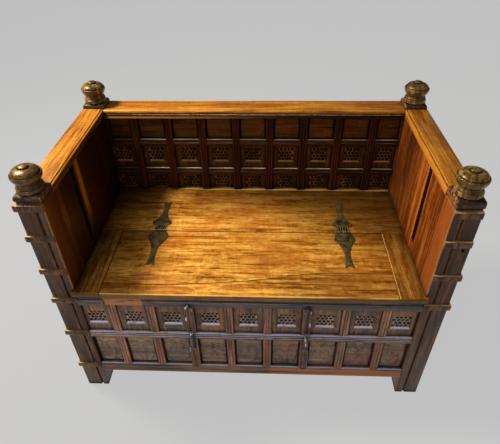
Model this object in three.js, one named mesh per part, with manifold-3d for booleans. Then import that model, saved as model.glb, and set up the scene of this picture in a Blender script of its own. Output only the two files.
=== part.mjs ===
// Settle bench: a seat between four banded posts, with board arms and a panelled back,
// over a chest whose lid is the front part of the seat. The front and the back are grids of
// rails and muntins over carved boards, and the upper tiles are pierced with a lattice.
// Millimetres, +Z up. The front faces -Y and left is -X. The origin is under the middle.
import * as THREE from 'three';
import { mergeVertices } from 'three/addons/utils/BufferGeometryUtils.js';
import Module from 'manifold-3d';

const wasm = await Module();
wasm.setup();

// Whole bench
const benchWidth = 1150;
const benchDepth = 606;
const gap = 0.3;
const overrun = 30;

// Posts
const postSize = 72;
const footHeight = 88;
const bandHeight = 24;
const bandProud = 6;
const bandUnderslope = 4;
const bandTopslope = 1.5;
const bandRise = 6;
const grooveWidth = 6;
const grooveDepth = 5;
const grooveShares = { left: 0.7, right: 0.62 };
const capitalHeight = 24;
const neckInset = 3.5;
const neckRise = 4;
const shoulderHeight = 9;
const shoulderInset = 6;
const wornBandCount = 2;
const lostBandCount = 2;
const lowBandDrop = 7;
const pegHoleWidth = 9;
const pegHoleHeight = 13;
const pegHoleDepth = 25;
const pegHoleDrop = 10;
const pegHoleShare = 0.27;

// Finials
const finialRadius = 39.5;
const finialHeight = 70;
const dowelRadius = 11;
const dowelLength = 30;
const finialSides = 14;

// Heights of the courses, from the feet up
const bottomRailHeight = 40;
const fieldCourseHeight = 143.5;
const midRailHeight = 27;
const tileCourseHeight = 127.5;
const ledgeHeight = 28.7;
const seatThickness = 30;
const lowTileCourseHeight = 64;
const backRailHeight = 24;
const highTileCourseHeight = 93;
const plainCourseHeight = 84;
const crownHeight = 19;
const capLipHeight = 10;

// Grid of rails and muntins
const columnCount = 9;
const outerColumnShare = 0.87;
const muntinWidth = 25;
const muntinDepth = 15.7;
const reedDepth = 2.5;
const lapDepth = 8;
const tenonWidth = 11;
const tenonThickness = 6;
const tenonShow = 3;
const midRailProud = 3;
const bottomRailDepth = 40;
const ledgeProud = 8;
const ledgeDepth = 40;
const coveHeight = 6;
const coveSet = 6;
const nosingRound = 3;
const brokenInset = 77;
const brokenLength = 127;

// Carved boards
const boardThickness = 14;
const frontTileRaise = 8;
const backTileRaise = 7.3;
const tileEdge = 1;
const fretWidth = 52;
const fretHeight = 50;
const windowBevel = 7;
const frontTileFoot = 25;
const backTileFoot = 20;
const fieldMargin = 2;
const fieldRaise = 7;
const fretColumns = 3;
const fretRows = 3;
const holeShare = 0.68;

// Back
const backProud = 8;
const backMuntinDepth = 19.7;
const backRailSet = 3;
const crownProud = 15;
const crownNeck = 5;
const capLipProud = 12;
const capBodyHeight = 38;
const chestWallThickness = 30;
const rearPlankThickness = 18;

// Arms
const armRailWidth = 75;
const armRailHeight = 19;
const armRailRound = 3;
const beadRadius = 4;
const quirkDepth = 3;
const plankThickness = 24;
const frontPlankWidth = 127;
const middlePlankWidth = 221;
const slotWidth = 25;
const slotLift = 35;
const plankJoint = 1.5;
const sideRailThickness = 48;

// Seat and chest
const seatOverhang = 12;
const endBoardWidth = 73;
const endBoardSetback = 2;
const rearBoardDepth = 251;
const hingeJoint = 3;
const lidSideJoint = 1.5;
const plankSplit = 0.8;
const edgeRound = 5;
const lipThickness = 19;
const lipDepth = 18;
const earWidth = 8;
const notchFlare = 4;
const battenWidth = 45;
const battenThickness = 25;
const battenInset = 178.5;
const battenSetback = 12;
const battenTailRoom = 8;
const bearerWidth = 50;
const bearerHeight = 40;
const bearerLap = 13;
const housingDepth = 10;
const floorThickness = 18;
const floorLift = 12;
const floorTongue = 8;

// Hinges of the lid
const hingeInset = 122.5;
const leafLength = 166;
const leafHalfWidth = 32;
const leafThickness = 2.5;
const knuckleRadius = 4.3;
const knuckleRun = 40;
const knuckleCount = 5;
const knuckleGap = 0.6;
const pinRadius = 1.8;
const pinHeadRadius = 3;
const pinHeadLength = 1.5;
const pinSides = 10;

// Hasps
const haspMuntin = 2;
const stapleRadius = 2.25;
const stapleLeg = 18;
const bowRadius = 3.4;
const haspStandoff = 7;
const stapleDrop = 16.7;
const linkBar = 3;
const linkHalfWidth = 8.5;
const linkLoopHeight = 113;
const neckHalf = 4.6;
const neckHeight = 14;
const eyeBarIn = 2.4;
const eyeBarWide = 3.4;
const eyeHalf = 5.6;
const eyeHeight = 80;
const ringBar = 2.5;
const ringHalfWidth = 10;
const ringHeight = 107;

// Levels that follow from the courses
const bottomRailTop = footHeight + bottomRailHeight;
const midRailBottom = bottomRailTop + fieldCourseHeight;
const midRailTop = midRailBottom + midRailHeight;
const ledgeBottom = midRailTop + tileCourseHeight;
const ledgeTop = ledgeBottom + ledgeHeight;
const seatBottom = ledgeTop + gap;
const seatTop = seatBottom + seatThickness;
const lowRailBottom = seatTop + lowTileCourseHeight;
const lowRailTop = lowRailBottom + backRailHeight;
const highRailBottom = lowRailTop + highTileCourseHeight;
const highRailTop = highRailBottom + backRailHeight;
const crownBottom = highRailTop + plainCourseHeight;
const crownTop = crownBottom + crownHeight;
const railTop = crownTop + capLipHeight;
const postTop = crownTop + capitalHeight;
const plankTop = railTop - armRailHeight;

// Widths and depths that follow from the posts
const insideHalf = benchWidth / 2 - postSize;
const rearPostFront = benchDepth - postSize;
const infillHalf = insideHalf - gap;
const backFace = rearPostFront - backProud;
const backBoardFront = backFace + backMuntinDepth + gap;
const backBoardRear = backBoardFront + boardThickness;
const chestWallFront = backBoardRear - chestWallThickness;
const hingeLine = backFace - rearBoardDepth;
const frontBoardFront = muntinDepth + gap;
const pinHeight = seatTop + gap + knuckleRadius;

// Columns of the grid: the outer ones are narrower than the rest
const muntinCount = columnCount - 1;
const columnShares = columnCount - 2 + 2 * outerColumnShare;
const columnWidth = (2 * insideHalf - muntinCount * muntinWidth) / columnShares;
const columnPitch = columnWidth + muntinWidth;

const wood = {
  dark: new THREE.MeshStandardMaterial({ color: 0x3b2a20, roughness: 0.55, metalness: 0 }),
  brown: new THREE.MeshStandardMaterial({ color: 0x6b3f1e, roughness: 0.5, metalness: 0 }),
  gold: new THREE.MeshStandardMaterial({ color: 0xb4742a, roughness: 0.42, metalness: 0 }),
  plain: new THREE.MeshStandardMaterial({ color: 0x573923, roughness: 0.7, metalness: 0 }),
};
const metal = {
  iron: new THREE.MeshStandardMaterial({ color: 0x3a3735, roughness: 0.45, metalness: 0.8 }),
  bronze: new THREE.MeshStandardMaterial({ color: 0x5d4f2c, roughness: 0.5, metalness: 0.7 }),
};

// Shape helpers

function polygon(points) {
  return new THREE.Shape(points.map(([u, v]) => new THREE.Vector2(u, v)));
}

function block(x0, x1, y0, y1, z0, z1) {
  const box = new THREE.BoxGeometry(x1 - x0, y1 - y0, z1 - z0);
  return box.translate((x0 + x1) / 2, (y0 + y1) / 2, (z0 + z1) / 2);
}

function extrude(outline, depth) {
  return new THREE.ExtrudeGeometry(outline, { depth, bevelEnabled: false, curveSegments: 4 });
}

// The outline is drawn in y and z.
function alongX(outline, x0, x1) {
  const turn = new THREE.Matrix4().makeBasis(
    new THREE.Vector3(0, 1, 0),
    new THREE.Vector3(0, 0, 1),
    new THREE.Vector3(1, 0, 0),
  );
  return extrude(outline, x1 - x0).applyMatrix4(turn).translate(x0, 0, 0);
}

// The outline is drawn in x and z.
function alongY(outline, y0, y1) {
  return extrude(outline, y1 - y0).rotateX(Math.PI / 2).translate(0, y1, 0);
}

// The outline is drawn in x and y.
function alongZ(outline, z0, z1) {
  return extrude(outline, z1 - z0).translate(0, 0, z0);
}

// Skins rings of points. Each ring turns anticlockwise as seen from the next one.
function loft(rings, closed = false) {
  const size = rings[0].length;
  const positions = rings.flat().flatMap((point) => [point.x, point.y, point.z]);
  const faces = [];
  const spans = closed ? rings.length : rings.length - 1;
  for (let i = 0; i < spans; i += 1) {
    const low = i * size;
    const high = ((i + 1) % rings.length) * size;
    for (let j = 0; j < size; j += 1) {
      const next = (j + 1) % size;
      faces.push(low + j, low + next, high + next);
      faces.push(low + j, high + next, high + j);
    }
  }
  if (!closed) {
    const top = (rings.length - 1) * size;
    for (let j = 1; j < size - 1; j += 1) {
      faces.push(0, j + 1, j);
      faces.push(top, top + j, top + j + 1);
    }
  }
  const geometry = new THREE.BufferGeometry();
  geometry.setAttribute('position', new THREE.Float32BufferAttribute(positions, 3));
  geometry.setIndex(faces);
  return geometry;
}

function rectangleRing(x0, x1, y0, y1, z) {
  return [
    new THREE.Vector3(x0, y0, z),
    new THREE.Vector3(x1, y0, z),
    new THREE.Vector3(x1, y1, z),
    new THREE.Vector3(x0, y1, z),
  ];
}

// Sweeps a bar with an oval section along a flat route whose plane has the given normal.
function bar(route, normal, halfIn, halfOut, closed) {
  const sides = 6;
  const last = route.length - 1;
  const rings = route.map((point, i) => {
    const before = route[i === 0 ? (closed ? last : 0) : i - 1];
    const after = route[i === last ? (closed ? 0 : last) : i + 1];
    const along = after.clone().sub(before).normalize();
    const across = normal.clone().cross(along);
    return Array.from({ length: sides }, (_, j) => {
      const turn = (2 * Math.PI * j) / sides;
      return point.clone()
        .addScaledVector(across, halfIn * Math.cos(turn))
        .addScaledVector(normal, halfOut * Math.sin(turn));
    });
  });
  return loft(rings, closed);
}

// A closed route with straight sides and round ends, hanging down from its top end's centre.
function loopRoute(halfWidth, height, place) {
  const turns = 4;
  const drop = height - 2 * halfWidth;
  const points = [];
  for (let i = 0; i <= turns; i += 1) {
    const angle = (Math.PI * i) / turns;
    points.push([halfWidth * Math.cos(angle), halfWidth * Math.sin(angle) - halfWidth]);
  }
  for (let i = 0; i <= turns; i += 1) {
    const angle = Math.PI + (Math.PI * i) / turns;
    points.push([halfWidth * Math.cos(angle), halfWidth * Math.sin(angle) - halfWidth - drop]);
  }
  return points.map(([across, up]) => place(across, up));
}

function toSolid(geometry) {
  const bare = new THREE.BufferGeometry();
  bare.setAttribute('position', geometry.getAttribute('position'));
  bare.setIndex(geometry.getIndex());
  const merged = mergeVertices(bare);
  return new wasm.Manifold(new wasm.Mesh({
    numProp: 3,
    vertProperties: Float32Array.from(merged.getAttribute('position').array),
    triVerts: Uint32Array.from(merged.getIndex().array),
  }));
}

function join(geometries) {
  return geometries.map(toSolid).reduce((whole, piece) => whole.add(piece));
}

function cut(body, cutters) {
  return cutters.map(toSolid).reduce((whole, cutter) => whole.subtract(cutter), body);
}

function toGeometry(solid) {
  const mesh = solid.getMesh();
  const geometry = new THREE.BufferGeometry();
  geometry.setAttribute('position', new THREE.BufferAttribute(mesh.vertProperties, 3));
  geometry.setIndex(new THREE.BufferAttribute(mesh.triVerts, 1));
  return geometry;
}

function piece(name, shape, material) {
  const geometry = shape.isBufferGeometry ? shape : toGeometry(shape);
  const mesh = new THREE.Mesh(geometry, material);
  mesh.name = name;
  return mesh;
}

const sides = [{ name: 'left', sign: -1 }, { name: 'right', sign: 1 }];
const ends = [{ name: 'front', sign: -1 }, { name: 'rear', sign: 1 }];

// Posts: square, with bands on the two outer faces at the level of each rail

const bandTops = [
  bottomRailTop + bandRise,
  midRailTop + bandRise,
  ledgeTop,
  lowRailTop,
  highRailTop + bandRise / 2,
  crownTop,
];

// The right front post's top band sits low, its two highest bands have lost their outer ends
// and its two lowest bands are gone.
function postBands(side, end) {
  const worn = side.sign > 0 && end.sign < 0;
  const last = bandTops.length - 1;
  const bands = bandTops.map((top, i) => ({
    top: worn && i === last ? top - lowBandDrop : top,
    sideProud: worn && i > last - wornBandCount ? 0 : bandProud,
  }));
  return worn ? bands.slice(lostBandCount) : bands;
}

// Rings from the foot up. Above the last band a neck carries a cushion-shaped capital.
function postLevels(bands) {
  const plain = { proud: 0, sideProud: 0, inset: 0 };
  const levels = [{ ...plain, z: 0 }];
  for (const { top, sideProud } of bands) {
    const low = top - bandHeight;
    const full = { proud: bandProud, sideProud, inset: 0 };
    levels.push({ ...plain, z: low });
    levels.push({ ...full, z: low + bandUnderslope });
    levels.push({ ...full, z: top - bandTopslope });
    levels.push({ ...plain, z: top });
  }
  const neck = bands[bands.length - 1].top;
  levels.push({ ...plain, z: neck, inset: neckInset });
  levels.push({ ...plain, z: neck + neckRise, inset: neckInset });
  levels.push({ ...plain, z: neck + 2 * neckRise });
  levels.push({ ...plain, z: postTop - shoulderHeight });
  levels.push({ ...plain, z: postTop - shoulderHeight / 3, inset: shoulderInset / 3 });
  levels.push({ ...plain, z: postTop, inset: shoulderInset });
  return levels;
}

function postGrooves(side, bands) {
  const middle = side.sign * (postSize / 2 - grooveShares[side.name] * postSize);
  return bands.map(({ top }, i) => block(
    middle - grooveWidth / 2,
    middle + grooveWidth / 2,
    -postSize / 2 - overrun,
    -postSize / 2 + grooveDepth,
    i === 0 ? -overrun : bands[i - 1].top,
    top - bandHeight,
  ));
}

// An open peg hole in the face of the right front post
function pegHole() {
  const bandBottom = highRailTop + bandRise / 2 - bandHeight;
  const top = bandBottom - pegHoleDrop + pegHoleHeight / 2;
  return block(
    pegHoleShare * postSize - pegHoleWidth / 2,
    pegHoleShare * postSize + pegHoleWidth / 2,
    -postSize / 2 - overrun,
    -postSize / 2 + pegHoleDepth,
    top - pegHoleHeight,
    top,
  );
}

function makePost(side, end) {
  const half = postSize / 2;
  const bands = postBands(side, end);
  const rings = postLevels(bands).map(({ z, proud, sideProud, inset }) => rectangleRing(
    -half + inset - (side.sign < 0 ? sideProud : 0),
    half - inset + (side.sign > 0 ? sideProud : 0),
    -half + inset - (end.sign < 0 ? proud : 0),
    half - inset + (end.sign > 0 ? proud : 0),
    z,
  ));
  const bore = new THREE.CylinderGeometry(
    dowelRadius + gap,
    dowelRadius + gap,
    dowelLength + gap + overrun,
    finialSides,
  );
  bore.rotateX(Math.PI / 2);
  bore.translate(0, 0, postTop + (overrun - dowelLength - gap) / 2);
  const cutters = [bore];
  if (end.sign < 0) {
    cutters.push(...postGrooves(side, bands));
    if (side.sign > 0) {
      cutters.push(pegHole());
    }
  }
  const post = cut(toSolid(loft(rings)), cutters);
  return piece(`post_${end.name}_${side.name}`, post, wood.dark);
}

// Finials: turned, each with a dowel that sits in the top of its post
// Each row is a share of the radius and a share of the height.
const finialShares = [
  [0.82, 0], [0.89, 0.04], [0.88, 0.14], [0.82, 0.20], [0.60, 0.24], [0.54, 0.33],
  [0.62, 0.42], [0.88, 0.47], [0.98, 0.56], [1, 0.64], [0.96, 0.73], [0.84, 0.80],
  [0.76, 0.80], [0.70, 0.83], [0.33, 0.89], [0.31, 0.93], [0.18, 0.985],
];

function makeFinial(side, end) {
  const profile = [
    new THREE.Vector2(0, -dowelLength),
    new THREE.Vector2(dowelRadius, -dowelLength),
    new THREE.Vector2(dowelRadius, gap),
  ];
  for (const [radiusShare, heightShare] of finialShares) {
    const height = gap + heightShare * (finialHeight - gap);
    profile.push(new THREE.Vector2(radiusShare * finialRadius, height));
  }
  profile.push(new THREE.Vector2(0, finialHeight));
  const turned = new THREE.LatheGeometry(profile, finialSides).rotateX(Math.PI / 2);
  return piece(`finial_${end.name}_${side.name}`, toSolid(turned), wood.dark);
}

// Mouldings: bars whose front edge is a row of shallow reeds

function reededOutline(width, depth, count) {
  const steps = 3;
  const points = [[-width / 2, depth], [width / 2, depth]];
  for (let reed = 0; reed < count; reed += 1) {
    for (let step = 0; step < steps; step += 1) {
      const share = (reed + step / steps) / count;
      const rise = Math.sin((Math.PI * step) / steps);
      points.push([width / 2 - share * width, reedDepth * (1 - rise)]);
    }
  }
  points.push([-width / 2, reedDepth]);
  return points;
}

function muntinX(index) {
  return (index - (muntinCount - 1) / 2) * columnPitch;
}

function columnSpan(index) {
  const left = index === 0 ? -insideHalf : muntinX(index - 1) + muntinWidth / 2;
  const right = index === muntinCount ? insideHalf : muntinX(index) - muntinWidth / 2;
  return [left, right];
}

function uprightBar(x, face, depth, z0, z1) {
  const outline = reededOutline(muntinWidth, depth, 3).map(([u, v]) => [x + u, face + v]);
  return alongZ(polygon(outline), z0, z1);
}

function levelBar(face, depth, z0, z1, reeds) {
  const middle = (z0 + z1) / 2;
  const outline = reededOutline(z1 - z0, depth, reeds).map(([u, v]) => [face + v, middle + u]);
  return alongX(polygon(outline), -infillHalf, infillHalf);
}

function tenon(x, clearance) {
  const middle = muntinDepth / 2;
  return block(
    x - tenonWidth / 2 - clearance,
    x + tenonWidth / 2 + clearance,
    middle - tenonThickness / 2 - clearance,
    middle + tenonThickness / 2 + clearance,
    footHeight - tenonShow - clearance,
    bottomRailTop + gap + lapDepth,
  );
}

function makeFrontMuntin(index) {
  const x = muntinX(index);
  const stick = uprightBar(x, 0, muntinDepth, bottomRailTop + gap, ledgeBottom - gap);
  const crossing = block(
    x - muntinWidth,
    x + muntinWidth,
    -overrun,
    lapDepth + gap / 2,
    midRailBottom - gap,
    midRailTop + gap,
  );
  const shape = cut(join([stick, tenon(x, 0)]), [crossing]);
  return piece(`front_muntin_${index + 1}`, shape, wood.dark);
}

function makeMidRail() {
  const face = -midRailProud;
  const rail = levelBar(face, muntinDepth + midRailProud, midRailBottom, midRailTop, 3);
  const laps = [];
  for (let i = 0; i < muntinCount; i += 1) {
    const x = muntinX(i);
    const half = muntinWidth / 2 + gap;
    laps.push(block(
      x - half,
      x + half,
      lapDepth - gap / 2,
      muntinDepth + overrun,
      midRailBottom - overrun,
      midRailTop + overrun,
    ));
  }
  return piece('front_mid_rail', cut(toSolid(rail), laps), wood.dark);
}

function makeBottomRail() {
  const rail = levelBar(-reedDepth, bottomRailDepth + reedDepth, footHeight, bottomRailTop, 2);
  const cutters = [floorBlock(gap, gap)];
  for (let i = 0; i < muntinCount; i += 1) {
    cutters.push(tenon(muntinX(i), gap));
  }
  return piece('front_bottom_rail', cut(toSolid(rail), cutters), wood.dark);
}

// Ledge: the top rail of the front, with a cove under the seat and a nosing that has
// broken away along one stretch
function makeLedge() {
  const coveTop = ledgeTop - coveHeight;
  const outline = polygon([
    [ledgeDepth, ledgeBottom],
    [ledgeDepth, ledgeTop],
    [-ledgeProud + coveSet, ledgeTop],
    [-ledgeProud + coveSet, coveTop],
    [-ledgeProud + nosingRound, coveTop],
    [-ledgeProud, coveTop - nosingRound],
    [-ledgeProud, ledgeBottom + 2 * nosingRound],
    [-ledgeProud + nosingRound, ledgeBottom + nosingRound],
    [-ledgeProud + nosingRound, ledgeBottom],
  ]);
  const brokenStart = -insideHalf + brokenInset;
  const broken = block(
    brokenStart,
    brokenStart + brokenLength,
    -ledgeProud - overrun,
    -ledgeProud + coveSet,
    ledgeBottom - overrun,
    ledgeTop + overrun,
  );
  const holes = haspPlaces().map(({ x }) => stapleShape(x, gap));
  const rail = toSolid(alongX(outline, -infillHalf, infillHalf));
  return piece('front_ledge', cut(rail, [broken, ...holes]), wood.dark);
}

// Carved boards: raised tile frames with bevelled windows over a pierced lattice

function bevelledWindow(x, z, face, board) {
  const rings = [[board + gap, 0], [board, 0], [face, windowBevel], [face - gap, windowBevel]];
  return loft(rings.map(([y, spread]) => {
    const halfX = fretWidth / 2 + spread;
    const halfZ = fretHeight / 2 + spread;
    return [
      new THREE.Vector3(x - halfX, y, z - halfZ),
      new THREE.Vector3(x + halfX, y, z - halfZ),
      new THREE.Vector3(x + halfX, y, z + halfZ),
      new THREE.Vector3(x - halfX, y, z + halfZ),
    ];
  }));
}

// Lozenge holes in rows, each other row stepped by half a pitch
function fretHoles(x, z) {
  const pitchX = fretWidth / fretColumns;
  const pitchZ = fretHeight / (fretRows + 1);
  const halfX = (pitchX / 2) * holeShare;
  const halfZ = pitchZ * holeShare;
  const holes = [];
  for (let row = 0; row < fretRows; row += 1) {
    const stepped = row % 2;
    const level = z + (row - (fretRows - 1) / 2) * pitchZ;
    for (let column = 0; column < fretColumns - stepped; column += 1) {
      const place = x + (column - (fretColumns - 1 - stepped) / 2) * pitchX;
      holes.push(new THREE.Path([
        new THREE.Vector2(place, level - halfZ),
        new THREE.Vector2(place + halfX, level),
        new THREE.Vector2(place, level + halfZ),
        new THREE.Vector2(place - halfX, level),
      ]));
    }
  }
  return holes;
}

function boardOutline(bottom, top) {
  return polygon([
    [-infillHalf, bottom],
    [infillHalf, bottom],
    [infillHalf, top],
    [-infillHalf, top],
  ]);
}

function tileBoard({ name, boardFront, raise, bottom, top, frameBottom, frameTop, foot }) {
  const windowMiddle = frameBottom + foot + windowBevel + fretHeight / 2;
  const outline = boardOutline(bottom, top);
  const face = boardFront - raise;
  const frames = [];
  const windows = [];
  for (let i = 0; i < columnCount; i += 1) {
    const [left, right] = columnSpan(i);
    const middle = (left + right) / 2;
    outline.holes.push(...fretHoles(middle, windowMiddle));
    frames.push(block(
      left + tileEdge,
      right - tileEdge,
      face,
      boardFront,
      frameBottom,
      frameTop,
    ));
    windows.push(bevelledWindow(middle, windowMiddle, face, boardFront));
  }
  const pierced = alongY(outline, boardFront, boardFront + boardThickness);
  const raised = cut(join(frames), windows);
  return piece(name, toSolid(pierced).add(raised), wood.dark);
}

// Plain boards: a low raised field in each column
function fieldBoard({ name, boardFront, bottom, top, fieldBottom, fieldTop }) {
  const base = alongY(boardOutline(bottom, top), boardFront, boardFront + boardThickness);
  const fields = [];
  for (let i = 0; i < columnCount; i += 1) {
    const [left, right] = columnSpan(i);
    fields.push(block(
      left + fieldMargin,
      right - fieldMargin,
      boardFront - fieldRaise,
      boardFront + gap,
      fieldBottom + fieldMargin,
      fieldTop - fieldMargin,
    ));
  }
  return piece(name, join([base, ...fields]), wood.dark);
}

function makeFront() {
  const front = new THREE.Group();
  const boardJoint = (midRailBottom + midRailTop) / 2;
  front.add(makeBottomRail(), makeMidRail(), makeLedge());
  for (let i = 0; i < muntinCount; i += 1) {
    front.add(makeFrontMuntin(i));
  }
  front.add(fieldBoard({
    name: 'front_field_board',
    boardFront: frontBoardFront,
    bottom: bottomRailTop + gap,
    top: boardJoint - gap / 2,
    fieldBottom: bottomRailTop,
    fieldTop: midRailBottom,
  }));
  front.add(tileBoard({
    name: 'front_tile_board',
    boardFront: frontBoardFront,
    raise: frontTileRaise,
    bottom: boardJoint + gap / 2,
    top: ledgeBottom - gap,
    frameBottom: midRailTop + gap,
    frameTop: ledgeBottom - gap,
    foot: frontTileFoot,
  }));
  return front;
}

// Back: the same grid, standing on the chest's rear wall and capped by a rail

function makeBackLattice() {
  const bars = [];
  for (let i = 0; i < muntinCount; i += 1) {
    const top = crownBottom - gap;
    bars.push(uprightBar(muntinX(i), backFace, backMuntinDepth, seatBottom, top));
  }
  const railFace = backFace + backRailSet;
  const railDepth = backMuntinDepth - backRailSet;
  bars.push(levelBar(railFace, railDepth, lowRailBottom, lowRailTop, 2));
  bars.push(levelBar(railFace, railDepth, highRailBottom, highRailTop, 2));
  return piece('back_lattice', join(bars), wood.dark);
}

function makeCapRail() {
  const lipFront = rearPostFront - capLipProud;
  const bodyFront = backBoardFront;
  const bodyBottom = railTop - capBodyHeight;
  const outline = polygon([
    [benchDepth, bodyBottom],
    [benchDepth, railTop - armRailRound],
    [benchDepth - armRailRound, railTop],
    [lipFront + capLipHeight / 3, railTop],
    [lipFront, railTop - capLipHeight / 3],
    [lipFront, crownTop],
    [bodyFront, crownTop],
    [bodyFront, bodyBottom],
  ]);
  return piece('back_cap_rail', toSolid(alongX(outline, -infillHalf, infillHalf)), wood.gold);
}

function makeCrown() {
  const rear = backBoardFront - gap;
  const nose = rearPostFront - crownProud;
  const neck = nose + crownNeck;
  const quarter = crownHeight / 4;
  const outline = polygon([
    [rear, crownBottom],
    [rear, crownTop - gap],
    [neck, crownTop - gap],
    [neck, crownTop - quarter],
    [neck - crownNeck / 2, crownTop - quarter],
    [neck - crownNeck / 2, crownTop - 2 * quarter],
    [nose, crownBottom + quarter],
    [nose, crownBottom + quarter / 3],
    [neck, crownBottom],
  ]);
  return piece('back_crown_moulding', toSolid(alongX(outline, -infillHalf, infillHalf)), wood.dark);
}

function makeBack() {
  const back = new THREE.Group();
  const lowJoint = (lowRailBottom + lowRailTop) / 2;
  const highJoint = (highRailBottom + highRailTop) / 2;
  const boardTop = railTop - capBodyHeight - gap;
  back.add(makeBackLattice(), makeCapRail(), makeCrown());
  back.add(fieldBoard({
    name: 'back_plain_board',
    boardFront: backBoardFront,
    bottom: highJoint + gap / 2,
    top: boardTop,
    fieldBottom: highRailTop,
    fieldTop: boardTop,
  }));
  back.add(tileBoard({
    name: 'back_high_tile_board',
    boardFront: backBoardFront,
    raise: backTileRaise,
    bottom: lowJoint + gap / 2,
    top: highJoint - gap / 2,
    frameBottom: lowRailTop + gap,
    frameTop: highRailBottom - gap,
    foot: backTileFoot,
  }));
  back.add(makeLowTileBoard(lowJoint - gap / 2));
  back.add(piece(
    'back_rear_plank',
    toSolid(block(
      -infillHalf,
      infillHalf,
      backBoardRear + gap,
      backBoardRear + gap + rearPlankThickness,
      seatBottom,
      boardTop,
    )),
    wood.plain,
  ));
  return back;
}

// The low course is as tall as the high one, and the seat hides its lower part.
function makeLowTileBoard(top) {
  const fullBottom = lowRailBottom - highTileCourseHeight;
  const whole = tileBoard({
    name: 'back_low_tile_board',
    boardFront: backBoardFront,
    raise: backTileRaise,
    bottom: fullBottom - seatThickness,
    top,
    frameBottom: fullBottom,
    frameTop: lowRailBottom - gap,
    foot: backTileFoot,
  });
  const hidden = block(
    -benchWidth,
    benchWidth,
    0,
    backBoardFront,
    fullBottom - seatThickness,
    seatTop + gap,
  );
  const below = block(
    -benchWidth,
    benchWidth,
    0,
    benchDepth,
    fullBottom - seatThickness - overrun,
    seatBottom,
  );
  whole.geometry = toGeometry(cut(toSolid(whole.geometry), [hidden, below]));
  return whole;
}

// Arms: a top rail with a bead on its inner edge, over three upright planks

function makeArmRail(side) {
  const s = side.sign;
  const inner = insideHalf;
  const outer = insideHalf + armRailWidth;
  const outline = new THREE.Shape();
  outline.moveTo(s * inner, plankTop + gap);
  outline.lineTo(s * outer, plankTop + gap);
  outline.lineTo(s * outer, railTop - armRailRound);
  outline.lineTo(s * (outer - armRailRound / 3), railTop - armRailRound / 3);
  outline.lineTo(s * (outer - armRailRound), railTop);
  outline.lineTo(s * (inner + 2 * beadRadius + quirkDepth), railTop);
  outline.lineTo(s * (inner + 2 * beadRadius), railTop - quirkDepth);
  for (let i = 0; i <= 4; i += 1) {
    const angle = (Math.PI * i) / 4;
    const x = inner + beadRadius * (1 + Math.cos(angle));
    outline.lineTo(s * x, railTop - beadRadius * (1 - Math.sin(angle)));
  }
  const section = alongY(outline, postSize + gap, rearPostFront - gap);
  return piece(`arm_rail_${side.name}`, toSolid(section), wood.gold);
}

function makeSidePlanks(side) {
  const s = side.sign;
  const inner = s * (insideHalf + gap);
  const outer = s * (insideHalf + gap + plankThickness);
  const low = bottomRailTop + gap;
  const slotBottom = seatTop + slotLift;
  const front = postSize + gap;
  const slot = postSize + frontPlankWidth;
  const groove = slot + middlePlankWidth;
  const rear = rearPostFront - gap;
  const x0 = Math.min(inner, outer);
  const x1 = Math.max(inner, outer);
  const plank = (name, points) => piece(
    `side_plank_${name}_${side.name}`,
    cut(toSolid(alongX(polygon(points), x0, x1)), [bearerBlock(gap)]),
    wood.brown,
  );
  return [
    plank('front', [
      [front, low],
      [slot - gap / 2, low],
      [slot - gap / 2, slotBottom],
      [slot - slotWidth / 2, slotBottom],
      [slot - slotWidth / 2, plankTop],
      [front, plankTop],
    ]),
    plank('middle', [
      [slot + gap / 2, low],
      [groove - plankJoint / 2, low],
      [groove - plankJoint / 2, plankTop],
      [slot + slotWidth / 2, plankTop],
      [slot + slotWidth / 2, slotBottom],
      [slot + gap / 2, slotBottom],
    ]),
    plank('rear', [
      [groove + plankJoint / 2, low],
      [rear, low],
      [rear, plankTop],
      [groove + plankJoint / 2, plankTop],
    ]),
  ];
}

function makeSideRail(side) {
  const s = side.sign;
  const inner = s * (insideHalf + gap);
  const outer = s * (insideHalf + gap + sideRailThickness);
  const rail = block(
    Math.min(inner, outer),
    Math.max(inner, outer),
    postSize + gap,
    rearPostFront - gap,
    footHeight,
    bottomRailTop,
  );
  const shape = cut(toSolid(rail), [floorBlock(gap, overrun)]);
  return piece(`side_rail_${side.name}`, shape, wood.brown);
}

// Chest: floor, rear wall and the bearer under the seat's joint

// The floor's tongues sit in grooves of the rails around it. A cutter is the same block
// with a clearance all round and longer ends.
function floorBlock(clearance, endClearance) {
  return block(
    -insideHalf - floorTongue - clearance,
    insideHalf + floorTongue + clearance,
    bottomRailDepth - floorTongue - endClearance,
    chestWallFront + floorTongue + endClearance,
    footHeight + floorLift - clearance,
    footHeight + floorLift + floorThickness + clearance,
  );
}

function makeFloor() {
  const corners = [];
  for (const side of sides) {
    const inner = side.sign * infillHalf;
    const outer = side.sign * (insideHalf + floorTongue + overrun);
    const x0 = Math.min(inner, outer);
    const x1 = Math.max(inner, outer);
    corners.push(block(x0, x1, -overrun, postSize + 2 * gap, 0, bottomRailTop));
    corners.push(block(x0, x1, rearPostFront - 2 * gap, benchDepth, 0, bottomRailTop));
  }
  return piece('chest_floor', cut(toSolid(floorBlock(0, 0)), corners), wood.plain);
}

function makeChestWall() {
  const wall = block(
    -infillHalf,
    infillHalf,
    chestWallFront,
    backBoardRear,
    footHeight,
    ledgeTop,
  );
  return piece('chest_rear_wall', cut(toSolid(wall), [floorBlock(gap, gap)]), wood.plain);
}

function bearerBlock(clearance) {
  const front = hingeLine - bearerLap;
  return block(
    -insideHalf - housingDepth - clearance,
    insideHalf + housingDepth + clearance,
    front - clearance,
    front + bearerWidth + clearance,
    ledgeTop - bearerHeight - clearance,
    ledgeTop + clearance,
  );
}

// Seat: a fixed rear board cut round the back's muntins, two fixed end boards and the lid

const lidHalf = insideHalf - endBoardWidth - lidSideJoint;
const lidRear = hingeLine - hingeJoint / 2;
const rearBoardFront = hingeLine + hingeJoint / 2;

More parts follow.
